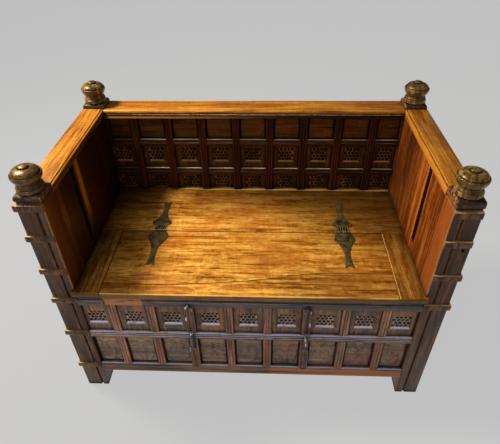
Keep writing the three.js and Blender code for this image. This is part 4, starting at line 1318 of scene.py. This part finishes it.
def set_out(name, places, piece_mesh, material, axis, turn=0.0, uneven=0.0, seed=1):
    """Copies of one mesh, made round the origin, on every place."""
    put_grain(piece_mesh, axis, name)
    piece = new_object(f"{name}_one", piece_mesh)
    points = bpy.data.meshes.new(name)
    points.from_pydata([tuple(place) for place in places], [], [])
    mesh = SET_OUT.bake(name, points, {
        "Piece": piece,
        "Turn": turn,
        "Uneven": uneven,
        "Seed": seed,
        "Finish": material,
    })
    bpy.data.objects.remove(piece)
    return mesh


build_set_out(SET_OUT)
print("nodes in the tree that sets out:", len(SET_OUT.tree.nodes))

# %% [markdown]
# The front's frame comes first: the bottom rail with two reeds, the middle rail with three,
# and the muntins between them, which end in small tenons under the bottom rail. Cutting the
# laps would cost time and nobody sees them, so the muntin is two reeded lengths and a core
# that passes behind the middle rail.

# %% The front's rails and muntins
TENON_WIDTH, TENON_THICKNESS = 11 * MM, 6 * MM


def muntin_places():
    """A point on the middle of each column of muntins."""
    return [((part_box(node)[0].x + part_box(node)[1].x) / 2, 0, 0) for node in MUNTINS]


def rail(node, reeds):
    """A front rail with this many reeds."""
    low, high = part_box(node)
    outline = reeded(low.z, high.z, low.y, high.y, reeds)
    mesh = run(node, outline, low.x, high.x, "X")
    finish_piece(f"{node}_reeded", mesh, "bench", FRONT, [node], "X")


def front_muntins():
    """The eight muntins as one piece. It gives how many points they have."""
    low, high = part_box(MUNTINS[0])
    mid_low, mid_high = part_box("front_mid_rail")
    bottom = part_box("front_bottom_rail")[1].z + GAP
    half = (high.x - low.x) / 2
    outline = reeded(-half, half, low.y, high.y, 3)
    lower = run("lower_length", outline, bottom, mid_low.z - GAP, "Z")
    upper = run("upper_length", outline, mid_high.z + GAP, high.z, "Z")
    lap = (low.y + high.y) / 2
    core = block("core", (-half, lap, mid_low.z), (half, high.y, mid_high.z))
    width, depth = TENON_WIDTH / 2, TENON_THICKNESS / 2
    nub = block("nub", (-width, lap - depth, low.z), (width, lap + depth, bottom))
    nub = with_worn_edges(nub, 1 * MM)
    one = joined("muntin", [lower, upper, core, nub])
    mesh = set_out("front_muntins", muntin_places(), one, MUNTIN, "Z")
    finish_piece("front_muntins_reeded", mesh, "bench", MUNTIN, MUNTINS)
    return len(mesh.vertices)


rail("front_bottom_rail", reeds=2)
rail("front_mid_rail", reeds=3)
dress("front_ledge", "bench", LEDGE, "X", edge=0.9 * MM)
print("front muntins, points:", front_muntins())

# %% [markdown]
# A pierced tile is a raised frame with a sloping window over a thin panel cut with leaf-shaped
# holes. The panel is drawn as flat curves and filled, which keeps every hole a true opening.
# Each hole is two shallow arcs, set in rows that lean one way and then the other, and a
# dark board behind closes the chest.

# %% A tree that draws one pierced panel
ARC_STEPS = 5
PIERCED = NodeTool("pierced_panel", [
    ("Geometry", "NodeSocketGeometry"),
    ("Columns", "NodeSocketInt"),
    ("Rows", "NodeSocketInt"),
    ("Pitch", "NodeSocketFloat"),
    ("Row Pitch", "NodeSocketFloat"),
    ("Hole Length", "NodeSocketFloat"),
    ("Hole Width", "NodeSocketFloat"),
    ("Lean", "NodeSocketFloat"),
    ("Width", "NodeSocketFloat"),
    ("Height", "NodeSocketFloat"),
    ("Thickness", "NodeSocketFloat"),
    ("Finish", "NodeSocketMaterial"),
])


def join_all(graph, wires):
    """Joins geometry wires. The join socket takes several links."""
    made = graph.tree.nodes.new("GeometryNodeJoinGeometry")
    for wire in wires:
        graph.tree.links.new(wire.socket, made.inputs[0])
    return Wire(graph, made.outputs[0])


def leaf_hole(graph, given):
    """One hole's outline: two shallow arcs that meet in points."""
    half = given("Hole Length") * 0.5
    arcs = []
    for side in (1, -1):
        arcs.append(graph.node("GeometryNodeCurveQuadraticBezier", inputs={
            "Resolution": ARC_STEPS,
            "Start": graph.vector(0 - half, 0.0, 0.0),
            "Middle": graph.vector(0.0, given("Hole Width") * side, 0.0),
            "End": graph.vector(half, 0.0, 0.0),
        }))
    edge = graph.node("GeometryNodeCurveToMesh", inputs={0: join_all(graph, arcs)})
    edge = graph.node("GeometryNodeMergeByDistance", inputs={0: edge, "Distance": 0.01 * MM})
    return graph.node("GeometryNodeMeshToCurve", inputs={0: edge})


def leaning_rows(graph, given, hole):
    """Rows of holes, shifted and leaning one way and then the other."""
    columns, rows = given("Columns"), given("Rows")
    grid = graph.node("GeometryNodeMeshGrid", inputs={
        "Size X": (columns - 1) * given("Pitch"),
        "Size Y": (rows - 1) * given("Row Pitch"),
        "Vertices X": columns,
        "Vertices Y": rows,
    })
    odd = (graph.node("GeometryNodeInputIndex") % rows) % 2
    shifted = graph.node("GeometryNodeSetPosition", inputs={
        "Geometry": grid,
        "Offset": graph.vector((odd - 0.5) * given("Pitch") * 0.5, 0.0, 0.0),
    })
    holes = graph.node("GeometryNodeInstanceOnPoints", inputs={
        "Points": shifted,
        "Instance": hole,
        "Rotation": graph.vector(0.0, 0.0, (odd - 0.5) * 2 * given("Lean")),
    })
    return graph.node("GeometryNodeRealizeInstances", inputs={0: holes})


def build_pierced(tool):
    """Fills a border with its holes, gives it a thickness and stands it upright."""
    graph, given = tool.graph, tool.given
    holes = leaning_rows(graph, given, leaf_hole(graph, given))
    border = graph.node("GeometryNodeCurvePrimitiveQuadrilateral", inputs={
        "Width": given("Width"),
        "Height": given("Height"),
    })
    face = graph.node("GeometryNodeFillCurve", inputs={0: join_all(graph, [border, holes])})
    front = graph.node("GeometryNodeExtrudeMesh", inputs={
        "Mesh": face,
        "Offset Scale": given("Thickness"),
        "Individual": False,
    })
    back = graph.node("GeometryNodeFlipFaces", inputs={0: face})
    whole = join_all(graph, [front, back])
    whole = graph.node("GeometryNodeMergeByDistance", inputs={0: whole, "Distance": 0.001 * MM})
    upright = graph.node("GeometryNodeTransform", inputs={
        "Geometry": whole,
        "Rotation": (math.radians(90), 0.0, 0.0),
    })
    tool.result(graph.node("GeometryNodeRealizeInstances", inputs={0: upright}))


build_pierced(PIERCED)
print("nodes in the pierced panel's tree:", len(PIERCED.tree.nodes))

# %% [markdown]
# Each tile's frame is one closed ring: its outer wall, a rounded arris, a flat face and a
# window that slopes down to the board. The window is low in its tile. The first one on the
# left sits nearer the post, as it does on the bench.

# %% The pierced tile boards
WINDOW_WIDTH, WINDOW_HEIGHT = 52 * MM, 50 * MM  # at the window's foot, by the board
WINDOW_BEVEL = 7 * MM
BOARD_THICKNESS = 14 * MM
PANEL_THICKNESS = 4 * MM
TILE_EDGE = 1.0 * MM
ARRIS = 1.2 * MM
FIRST_WINDOW_SHIFT = 7 * MM
HOLES = {
    "Columns": 4,
    "Rows": 4,
    "Pitch": 12.6 * MM,
    "Row Pitch": 12.8 * MM,
    "Hole Length": 16 * MM,
    "Hole Width": 10.4 * MM,
    "Lean": math.radians(58),
    "Width": WINDOW_WIDTH + 9 * MM,
    "Height": WINDOW_HEIGHT + 12 * MM,
    "Thickness": PANEL_THICKNESS,
}


def ring_solid(name, rings):
    """A closed frame through rings of (left, right, low, high, out)."""
    points = []
    for left, right, low, high, out in rings:
        points += [(left, out, low), (right, out, low), (right, out, high), (left, out, high)]
    faces = []
    for ring in range(len(rings)):
        faces += band(4 * ring, 4 * ((ring + 1) % len(rings)), 4)
    return mesh_from(name, points, faces)


def tile_frame(left, right, low, high, window, face, board):
    """A raised frame with a rounded arris and a window that slopes down to the board."""
    w_left, w_right, w_low, w_high = window

    def outer(inset, out):
        return (left + inset, right - inset, low + inset, high - inset, out)

    def inner(spread, out):
        return (w_left - spread, w_right + spread, w_low - spread, w_high + spread, out)

    return ring_solid("tile", [
        outer(0, board + BOARD_THICKNESS * 0.6),
        outer(0, face + ARRIS),
        outer(ARRIS * 0.3, face + ARRIS * 0.3),
        outer(ARRIS, face),
        inner(WINDOW_BEVEL, face),
        inner(WINDOW_BEVEL - ARRIS, face + ARRIS * 0.5),
        inner(0.4 * MM, board - 0.3 * MM),
        inner(0, board),
        inner(0, board + BOARD_THICKNESS * 0.6),
    ])


print("a window is", WINDOW_WIDTH, "by", WINDOW_HEIGHT)

# %% [markdown]
# A tile board is one plain board with nine frames on its face and a pierced panel in each
# window. The panels are copies of one, and half of them may be turned round at random, so that
# the rows of holes don't line up from tile to tile.

# %% Tile boards
def tile_frames(board, face, low, high, middle):
    """Nine raised frames, and the places of their pierced panels."""
    frames, centres = [], []
    for index, (left, right) in enumerate(COLUMNS):
        centre = (left + right) / 2 - (FIRST_WINDOW_SHIFT if index == 0 else 0)
        window = (
            centre - WINDOW_WIDTH / 2,
            centre + WINDOW_WIDTH / 2,
            middle - WINDOW_HEIGHT / 2,
            middle + WINDOW_HEIGHT / 2,
        )
        start, end = left + TILE_EDGE, right - TILE_EDGE
        frames.append(tile_frame(start, end, low, high, window, face, board))
        centres.append((centre, board + PANEL_THICKNESS, middle))
    return frames, centres


def tile_board(node, raised, foot, low, high, material, fret, clip=None):
    """A board with its frames and panels. It gives how many faces the panels have.

    The frames stand out by raised, foot is the flat part under each window, and clip is the
    height below which the frames are cut off.
    """
    box_low, box_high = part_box(node)
    board = box_high.y - BOARD_THICKNESS
    middle = low + foot + WINDOW_BEVEL + WINDOW_HEIGHT / 2
    behind = block("behind", (box_low.x, board + BOARD_THICKNESS * 0.55, box_low.z), box_high)
    bottom = max(low, clip) if clip else low
    frames, centres = tile_frames(board, board - raised, bottom, high, middle)
    panel = PIERCED.bake("panel", bpy.data.meshes.new("blank"), {**HOLES, "Finish": fret})
    panels = set_out(f"{node}_panels", centres, panel, fret, "Z", math.pi, seed=len(node))
    finish_piece(f"{node}_fretwork", panels, "bench", fret, [node])
    mesh = joined(node, [behind] + frames)
    finish_piece(f"{node}_frames", mesh, "bench", material, [node], "Z")
    return len(panels.polygons)


mid_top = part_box("front_mid_rail")[1].z + GAP
ledge_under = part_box("front_ledge")[0].z - GAP
count = tile_board("front_tile_board", 8 * MM, 25 * MM, mid_top, ledge_under, FRONT, FRET)
print("front panels, faces:", count)

# %% [markdown]
# The lower row of the front is nine carved fields. Their relief is shallow, so it is a height
# grid: an edge that rises to the field, and a worn pattern of leaves or scrolls on it. The
# second field from the left keeps its leaf fan clearly, and the others are nearly rubbed away.

# %% Carved and plain fields
FIELD_MARGIN = 2 * MM
FIELD_SLOPE, CARVING_FADE = 5 * MM, 6 * MM
FIELD_WEAR = 0.5 * MM
FIELD_LAP = 0.2 * MM  # how deep a field sits in its board
FIELD_BACK = 1 * MM
GRID = 44
PATTERNS = {
    "fan": lambda u, v: np.cos(9 * np.arctan2(u * 1.1, v + 1.25)) * (1.1 - 0.3 * v),
    "scroll": lambda u, v: np.sin(2 * np.arctan2(v, u) + 7 * np.hypot(u, v)),
    "rosette": lambda u, v: np.cos(6 * np.arctan2(v, u)) * np.sin(5 * np.hypot(u, v)),
    "twin": lambda u, v: np.sin(2 * np.arctan2(v, np.abs(u) - 0.5) + 8 * np.hypot(
        np.abs(u) - 0.5, v)),
    "plain": lambda u, v: 0 * u,
}


def field_heights(u, v, rim, rise, pattern, depth, seed):
    """How far a field stands out: its sloped edge, its carving and an uneven wear."""
    slope = np.clip(rim / FIELD_SLOPE, 0, 1)
    carved = np.clip(1.5 * PATTERNS[pattern](u, v), -1, 1)
    carved = carved * np.clip((rim - FIELD_SLOPE) / CARVING_FADE, 0, 1)
    dice = np.random.default_rng(seed)
    waves = sum(
        np.sin(dice.uniform(2, 9) * u + dice.uniform(2, 9) * v + dice.uniform(0, 6))
        for _ in range(5)
    ) / 5
    top = rise * np.sin(slope * np.pi / 2) + depth * (carved - 1) / 2
    top += FIELD_WEAR * (waves - 1) * slope
    top[rim <= 0] = 0
    return np.maximum(top, 0)


def grid_rim():
    """The numbers of the points round the height grid, in order."""
    last = GRID - 1
    loop = [i * GRID for i in range(GRID)]
    loop += [last * GRID + j for j in range(1, GRID)]
    loop += [i * GRID + last for i in range(last - 1, -1, -1)]
    return loop + list(range(last - 1, 0, -1))


def relief(name, left, right, low, high, base, rise, pattern, depth, seed):
    """A closed raised field whose top is a carved height grid."""
    u, v = np.meshgrid(np.linspace(-1, 1, GRID), np.linspace(-1, 1, GRID), indexing="ij")
    x = left + (u + 1) / 2 * (right - left)
    z = low + (v + 1) / 2 * (high - low)
    rim = np.minimum(np.minimum(x - left, right - x), np.minimum(z - low, high - z))
    y = base - field_heights(u, v, rim, rise, pattern, depth, seed)
    points = np.stack([x, y, z], -1).reshape(-1, 3)
    faces = [
        (i * GRID + j, (i + 1) * GRID + j, (i + 1) * GRID + j + 1, i * GRID + j + 1)
        for i in range(GRID - 1) for j in range(GRID - 1)
    ]
    loop, back = grid_rim(), len(points)
    points = np.concatenate([points, points[loop] + (0, FIELD_BACK, 0)])
    size = len(loop)
    for i in range(size):
        j = (i + 1) % size
        faces.append((loop[i], loop[j], back + j, back + i))
    faces.append(tuple(range(back, back + size)))
    return mesh_from(name, points, faces)


def field_board(node, low, high, material, rise, patterns, depth):
    """A board with one raised field in each column. It gives how many faces it has."""
    box_low, box_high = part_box(node)
    board = box_high.y - BOARD_THICKNESS
    meshes = [block("ground", (box_low.x, board, box_low.z), box_high)]
    bottom, top = low + FIELD_MARGIN, high - FIELD_MARGIN
    base, lift = board + FIELD_LAP, rise + FIELD_LAP
    for index, (left, right) in enumerate(COLUMNS):
        start, end = left + FIELD_MARGIN, right - FIELD_MARGIN
        meshes.append(relief(f"field_{index}", start, end, bottom, top, base, lift,
                             patterns[index], depth, index))
    mesh = joined(node, meshes)
    finish_piece(f"{node}_carved", mesh, "bench", material, [node], "X")
    return len(mesh.polygons)


bottom_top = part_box("front_bottom_rail")[1].z
mid_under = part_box("front_mid_rail")[0].z
FRONT_PATTERNS = ["scroll", "fan", "twin", "rosette", "scroll", "fan", "twin", "rosette", "scroll"]
count = field_board("front_field_board", bottom_top, mid_under, FIELD, rise=7 * MM,
                    patterns=FRONT_PATTERNS, depth=4.2 * MM)
print("front fields, faces:", count)

# %% [markdown]
# The back repeats the front's grid with its own levels. Its lattice is one glued piece in the
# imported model, so the bars and the two rails are joined into one mesh here too.

# %% The back
back_low, back_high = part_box("back_lattice")
RAIL_HEIGHT = 24 * MM
RAIL_SET = 3 * MM
LOW_RAIL = 549 * MM
HIGH_RAIL = 666 * MM
BACK_RAISED, BACK_FOOT = 7.3 * MM, 20 * MM


def back_lattice():
    """The eight bars and the two rails as one piece."""
    half = (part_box(MUNTINS[0])[1].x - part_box(MUNTINS[0])[0].x) / 2
    outline = reeded(-half, half, back_low.y, back_high.y, 3)
    bar = run("back_bar", outline, back_low.z, back_high.z, "Z")
    bars = set_out("back_bars", muntin_places(), bar, BACK, "Z", seed=4)
    rails = []
    for level in (LOW_RAIL, HIGH_RAIL):
        face = back_low.y + RAIL_SET
        outline = reeded(level, level + RAIL_HEIGHT, face, back_high.y, 2)
        mesh = run(f"back_rail_{level}", outline, back_low.x, back_high.x, "X")
        put_grain(mesh, "X", f"back_rail_{level}")
        rails.append(mesh)
    whole = joined("back_lattice", [bars] + rails)
    finish_piece("back_lattice_reeded", whole, "bench", BACK, ["back_lattice"])


back_lattice()
low_top, high_under = LOW_RAIL + RAIL_HEIGHT + GAP, HIGH_RAIL - GAP
course = high_under - low_top
SEAT_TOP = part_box("seat_rear_board")[1].z
BACK_TONES = (BACK_FIELD, BACK_FRET)
tile_board("back_high_tile_board", BACK_RAISED, BACK_FOOT, low_top, high_under, *BACK_TONES)
tile_board("back_low_tile_board", BACK_RAISED, BACK_FOOT, LOW_RAIL - GAP - course,
           LOW_RAIL - GAP, *BACK_TONES, clip=SEAT_TOP + GAP)
BACK_PATTERNS = ["plain"] * 4 + ["twin"] + ["plain"] * 4
field_board("back_plain_board", HIGH_RAIL + RAIL_HEIGHT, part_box("back_crown_moulding")[0].z,
            BACK_FIELD, rise=7 * MM, patterns=BACK_PATTERNS, depth=1.6 * MM)
print("back built, one course is", round(course, 4), "high")

# %% [markdown]
# The finials were turned on a lathe, so they are a profile spun round an axis: a foot ring, a
# flattened bun with two cut grooves, and a small button. The profile is smoothed between its
# marks by a curve through the points, so the light runs round it without facets.

# %% Finials
FINIAL_MARKS = [  # (share of the widest radius, share of the height over the post)
    (0.80, 0.0), (0.88, 0.02), (0.90, 0.05), (0.88, 0.08), (0.875, 0.11), (0.885, 0.14),
    (0.86, 0.17), (0.79, 0.195), (0.80, 0.215), (0.82, 0.235), (0.80, 0.26), (0.74, 0.285),
    (0.73, 0.32), (0.78, 0.36), (0.86, 0.42), (0.93, 0.49), (0.98, 0.56), (1.0, 0.62),
    (0.985, 0.665), (0.955, 0.69), (0.90, 0.672), (0.872, 0.70), (0.88, 0.735), (0.85, 0.768),
    (0.76, 0.82), (0.62, 0.86), (0.47, 0.885), (0.38, 0.89), (0.32, 0.865), (0.27, 0.868),
    (0.27, 0.895), (0.32, 0.92), (0.33, 0.94), (0.26, 0.97), (0.12, 0.99),
]
SPIN_STEPS = 64
DOWEL_RADIUS = 11 * MM


def smooth_line(marks, steps):
    """A smooth curve that passes through all marks, with this many steps between two."""
    marks = np.array(marks, float)
    padded = np.vstack([2 * marks[0] - marks[1], marks, 2 * marks[-1] - marks[-2]])
    line = []
    for i in range(1, len(padded) - 2):
        a, b, c, d = padded[i - 1:i + 3]
        for t in np.arange(steps) / steps:
            line.append(0.5 * (
                2 * b + (c - a) * t + (2 * a - 5 * b + 4 * c - d) * t ** 2
                + (3 * b - a - 3 * c + d) * t ** 3
            ))
    line.append(marks[-1])
    return np.array(line)


def spun(name, profile, centre):
    """A closed turned solid from a profile of (radius, height) points."""
    points = [(centre[0], centre[1], profile[0][1])]
    rings = []
    for radius, height in profile:
        start = len(points)
        for step in range(SPIN_STEPS):
            angle = math.tau * step / SPIN_STEPS
            points.append((
                centre[0] + radius * math.cos(angle),
                centre[1] + radius * math.sin(angle),
                height,
            ))
        rings.append(start)
    points.append((centre[0], centre[1], profile[-1][1]))
    faces = []
    for step in range(SPIN_STEPS):
        after = (step + 1) % SPIN_STEPS
        faces.append((0, rings[0] + after, rings[0] + step))
        faces.append((len(points) - 1, rings[-1] + step, rings[-1] + after))
    for low, high in zip(rings, rings[1:]):
        faces += band(low, high, SPIN_STEPS)
    return mesh_from(name, points, faces)


for end in ENDS:
    for side in SIDES:
        node = f"finial_{end}_{side}"
        low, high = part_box(node)
        centre = ((low.x + high.x) / 2, (low.y + high.y) / 2)
        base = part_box(f"post_{end}_{side}")[1].z + GAP
        reach = (high.y - low.y) / 2
        tall = high.z - base
        profile = [(DOWEL_RADIUS, low.z), (DOWEL_RADIUS, base)]
        profile += [(r * reach, base + h * tall) for r, h in smooth_line(FINIAL_MARKS, 3)]
        profile.append((0.03 * reach, high.z))
        mesh = spun(node, profile, centre)
        finish_piece(f"{node}_turned", mesh, "bench", FINIAL, [node], "Z")
print("finials turned")

# %% [markdown]
# The strap hinges are cast plates with a lobed outline. Marks along the plate are joined by
# the same smooth curve as the finials, and the far end is split like a tail. Each leaf carries
# its knuckles on the pin. Behind the pin, narrow straps and thin ribs cross the pocket, whose
# shade is painted on the board.

# %% Hinges
LEAF_MARKS = {  # (share of the plate's length, share of its half width), front and rear
    -1: [
        (0.0, 0.62), (0.03, 0.76), (0.08, 0.94), (0.15, 1.0), (0.22, 0.96), (0.30, 0.72),
        (0.37, 0.58), (0.45, 0.42), (0.58, 0.27), (0.76, 0.25), (0.88, 0.33), (1.0, 0.44),
    ],
    1: [
        (0.14, 0.60), (0.155, 0.76), (0.19, 0.94), (0.24, 1.0), (0.29, 0.92), (0.34, 0.68),
        (0.39, 0.56), (0.46, 0.42), (0.58, 0.27), (0.76, 0.25), (0.88, 0.33), (1.0, 0.44),
    ],
}
FINGER = {-1: (3 * MM, 0.0), 1: (24 * MM, 2.7 * MM)}  # a strap's length, and its waist
NOTCH = 0.945
PLATE = 2.5 * MM
RIB = 0.6 * MM
KNUCKLE_PITCH = 8 * MM
PLATE_EDGE, BARREL_EDGE = 0.8 * MM, 0.9 * MM


class Leaf:
    """The measures of one hinge leaf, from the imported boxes."""

    def __init__(self, node, direction):
        low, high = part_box(node)
        pin = node.replace("rear_leaf", "pin").replace("front_leaf", "pin")
        pin_low, pin_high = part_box(pin)
        self.direction = direction
        self.middle = (low.x + high.x) / 2
        self.half = (high.x - low.x) / 2
        self.line = (pin_low.y + pin_high.y) / 2
        self.height = (pin_low.z + pin_high.z) / 2
        self.radius = high.z - self.height
        self.tip = high.y if direction > 0 else low.y
        self.start = self.line + direction * (self.radius + GAP)
        self.low, self.top = low.z, low.z + PLATE

    def spot(self, along, across):
        """A place on the plate, from shares of its length and half width."""
        return self.middle + across * self.half, self.start + along * (self.tip - self.start)

    def column(self, index):
        """The place of a knuckle along the pin. The middle one is 2."""
        return self.middle + (index - 2) * KNUCKLE_PITCH


def leaf_plate(leaf):
    """The lobed plate, with a notch in its far end."""
    marks = smooth_line(LEAF_MARKS[leaf.direction], 5)
    right = [leaf.spot(along, across) for along, across in marks]
    left = [(2 * leaf.middle - x, y) for x, y in reversed(right)]
    outline = right + [leaf.spot(NOTCH, 0)] + left
    size = len(outline)
    points = [(x, y, z) for z in (leaf.low, leaf.top) for x, y in outline]
    faces = [tuple(range(size)), tuple(range(size, 2 * size))] + band(0, size, size)
    return with_worn_edges(mesh_from("plate", points, faces), PLATE_EDGE, segments=3, angle=40)


def barrel(leaf, x, half_length):
    """One knuckle round the pin."""
    shape = bmesh.new()
    turn = Matrix.Rotation(math.radians(90), 4, "Y")
    bmesh.ops.create_cone(
        shape,
        cap_ends=True,
        segments=24,
        radius1=leaf.radius,
        radius2=leaf.radius,
        depth=2 * half_length,
        matrix=Matrix.Translation((x, leaf.line, leaf.height)) @ turn,
    )
    mesh = bpy.data.meshes.new("barrel")
    shape.to_mesh(mesh)
    shape.free()
    return with_worn_edges(mesh, BARREL_EDGE, segments=3, angle=40)


def leaf_fingers(leaf, knuckles):
    """The knuckles, their straps and, on a rear leaf, the ribs between the straps."""
    length, waist = FINGER[leaf.direction]
    reach = KNUCKLE_PITCH / 2 - GAP
    wide = reach - waist
    inner = leaf.line + leaf.direction * leaf.radius * 0.4
    outer = leaf.line + leaf.direction * (leaf.radius + length)
    near, far = sorted((inner, outer))
    parts = []
    for x in map(leaf.column, knuckles):
        parts.append(barrel(leaf, x, reach))
        parts.append(block("strap", (x - wide, near, leaf.low), (x + wide, far, leaf.top)))
    if leaf.direction > 0:
        for x in map(leaf.column, (1, 3)):
            rib = leaf.line + leaf.radius + 1 * MM
            parts.append(block("rib", (x - RIB, rib, leaf.low), (x + RIB, outer, leaf.top)))
    return joined("fingers", parts)


print("knuckles lie", round(KNUCKLE_PITCH, 4), "apart")

# %% [markdown]
# Small nails with round heads hold each leaf. One nail is a flattened ball, and the tree sets
# it out on the leaf's marks with slightly different sizes. The rear leaf's knuckles are a piece
# of their own, because they are much paler than the plates, rubbed and with painted highlights.

# %% Nails, and the hinges put together
def nail_mesh(radius):
    """A ball with a low upper half and a flat lower one, made round the origin."""
    shape = bmesh.new()
    bmesh.ops.create_uvsphere(shape, u_segments=14, v_segments=8, radius=radius)
    for vertex in shape.verts:
        vertex.co.z *= 0.5 if vertex.co.z > 0 else 0.25
    mesh = bpy.data.meshes.new("nail")
    shape.to_mesh(mesh)
    shape.free()
    return mesh


NAIL_RADIUS = 2.6 * MM
NAIL_MARKS = [(0.2, -0.6), (0.2, 0.6), (0.27, -0.2), (0.3, 0.3), (0.62, 0.0), (0.9, 0.0)]
for side in SIDES:
    for kind, direction, knuckles, body in (
        ("rear", 1, (0, 2, 4), "bench"),
        ("front", -1, (1, 3), "lid"),
    ):
        node = f"hinge_{kind}_leaf_{side}"
        leaf = Leaf(node, direction)
        places = [(*leaf.spot(along, across), leaf.top) for along, across in NAIL_MARKS]
        nail = nail_mesh(NAIL_RADIUS)
        nails = set_out(f"{node}_nails", places, nail, BRONZE, "X", uneven=0.3)
        mesh = joined(node, [leaf_plate(leaf), nails])
        finish_piece(f"{node}_cast", mesh, body, BRONZE, [node])
        finish = KNUCKLE if kind == "rear" else BRONZE
        fingers = leaf_fingers(leaf, knuckles)
        finish_piece(f"{node}_knuckles", fingers, body, finish, [node])
print("hinges built")

# %% [markdown]
# Each hasp is three forged pieces: a staple driven into the ledge, a link whose lower loop is
# turned across the upper one by a twisted neck, and a long ring. A curve with a bevel could
# make the bars, but here a round or oval section follows each route point by point, and it
# swells and shrinks slightly, because a hammered bar is never even.

# %% Forged bars
BAR_SIDES = 12
RING_HALF, RING_HEIGHT = 10 * MM, 107 * MM


def forged_bar(name, route, normal, half_in, half_out, closed, seed):
    """A bar of oval section along a flat route with the given normal."""
    dice = random.Random(seed)
    normal = Vector(normal)
    count = len(route)
    points = []
    for i, point in enumerate(route):
        before = Vector(route[i - 1] if i or closed else route[0])
        after = Vector(route[(i + 1) % count] if i < count - 1 or closed else route[-1])
        across = normal.cross((after - before).normalized())
        swell = dice.uniform(0.93, 1.0)
        for j in range(BAR_SIDES):
            turn = math.tau * j / BAR_SIDES
            points.append(
                Vector(point) + across * (half_in * swell * math.cos(turn))
                + normal * (half_out * swell * math.sin(turn))
            )
    faces = []
    last = count if closed else count - 1
    for ring in range(last):
        faces += band(ring * BAR_SIDES, ((ring + 1) % count) * BAR_SIDES, BAR_SIDES)
    if not closed:
        faces.append(tuple(range(BAR_SIDES)))
        faces.append(tuple(range((count - 1) * BAR_SIDES, count * BAR_SIDES)))
    return mesh_from(name, points, faces)


def loop_route(half, height, turns=10, straights=8):
    """(across, up) points of a long loop that hangs from its top."""
    points = []
    for i in range(turns + 1):
        angle = math.pi * i / turns
        points.append((half * math.cos(angle), half * math.sin(angle) - half))
    drop = height - 2 * half
    for i in range(1, straights):
        points.append((-half, -half - drop * i / straights))
    for i in range(turns + 1):
        angle = math.pi + math.pi * i / turns
        points.append((half * math.cos(angle), half * math.sin(angle) - half - drop))
    for i in range(1, straights):
        points.append((half, -half - drop * (1 - i / straights)))
    return points


NECK_HALF, NECK_HEIGHT = 4.6 * MM, 14 * MM
NECK_SWELL = 1.06  # how far the middle of a side stands out, against its flat place


def twisted_neck(x, y, bottom, top):
    """A square bar with half a turn of twist."""
    rings, steps = 20, 8
    points = []
    for i in range(rings + 1):
        z = bottom + (top - bottom) * i / rings
        for j in range(steps):
            corner = math.tau * j / steps
            angle = math.pi * i / rings + corner + math.pi / 4
            radius = NECK_HALF * (math.sqrt(2) if j % 2 == 0 else NECK_SWELL)
            points.append((x + radius * math.cos(angle), y + radius * math.sin(angle), z))
    faces = [tuple(range(steps)), tuple(range(rings * steps, (rings + 1) * steps))]
    for ring in range(rings):
        faces += band(ring * steps, (ring + 1) * steps, steps)
    return mesh_from("neck", points, faces)


print("a loop's route has", len(loop_route(RING_HALF, RING_HEIGHT)), "points")

# %% [markdown]
# The staple's ends go into the ledge. The link's upper loop hangs on it and lies flat to the
# front. The lower loop stands across it, so that the ring in it lies flat again. The three
# hang from each other with a small gap, because the bars may not cut each other.

# %% Hasps
LINK_BAR, RING_BAR = 3 * MM, 2.5 * MM
STAPLE_RADIUS, BOW = 2.25 * MM, 3.4 * MM
LINK_HALF, LINK_HEIGHT = 8.5 * MM, 113 * MM
EYE_HALF, EYE_HEIGHT = 5.6 * MM, 80 * MM
EYE_IN, EYE_WIDE = 2.4 * MM, 3.4 * MM


def hang(node, mesh, body):
    """A forged piece that stands for its node."""
    finish_piece(f"{node}_forged", mesh, body, IRON, [node])


for side in SIDES:
    staple_low, staple_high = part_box(f"hasp_staple_{side}")
    ring_low, ring_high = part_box(f"hasp_ring_{side}")
    x = (staple_low.x + staple_high.x) / 2
    y = (ring_low.y + ring_high.y) / 2
    level = (staple_low.z + staple_high.z) / 2
    reach = BOW + STAPLE_RADIUS
    arc = [math.pi * i / 12 for i in range(13)]
    route = [(x, staple_high.y, level + reach)]
    route += [(x, y - reach * math.sin(a), level + reach * math.cos(a)) for a in arc]
    route.append((x, staple_high.y, level - reach))
    staple = forged_bar("staple", route, (1, 0, 0), STAPLE_RADIUS, STAPLE_RADIUS, False, x)
    hang(f"hasp_staple_{side}", staple, "bench")

    upper = [(x + a, y, level + b) for a, b in loop_route(LINK_HALF, LINK_HEIGHT)]
    eye_top = level - LINK_HEIGHT
    lower = [(x, y + a, eye_top + b) for a, b in loop_route(EYE_HALF, EYE_HEIGHT)]
    link = joined("link", [
        forged_bar("upper", upper, (0, -1, 0), LINK_BAR, LINK_BAR, True, x + 1),
        twisted_neck(x, y, eye_top - NECK_HEIGHT / 2, eye_top + NECK_HEIGHT / 2),
        forged_bar("lower", lower, (1, 0, 0), EYE_IN, EYE_WIDE, True, x + 2),
    ])
    hang(f"hasp_link_{side}", link, f"hasp_link_{side}_body")

    top = eye_top - EYE_HEIGHT + EYE_IN + GAP + RING_BAR
    route = [(x + a, y, top + b) for a, b in loop_route(RING_HALF, RING_HEIGHT)]
    ring = forged_bar("ring", route, (0, -1, 0), RING_BAR, RING_BAR, True, x + 3)
    hang(f"hasp_ring_{side}", ring, f"hasp_ring_{side}_body")
print("hasps built")

# %% [markdown]
# The hinges' pins need no new shape. They lie inside the knuckles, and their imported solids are
# shown as they are, with a finish only. Any other node left over would get one the same way.

# %% Finishes for the nodes that stay as they are
for node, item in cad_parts.items():
    if item.hide_render:
        continue
    print("kept:", node)
    kind = IRON if node.startswith("hasp") else BRONZE if node.startswith("hinge") else PLAIN
    item.data.materials.clear()
    item.data.materials.append(kind)
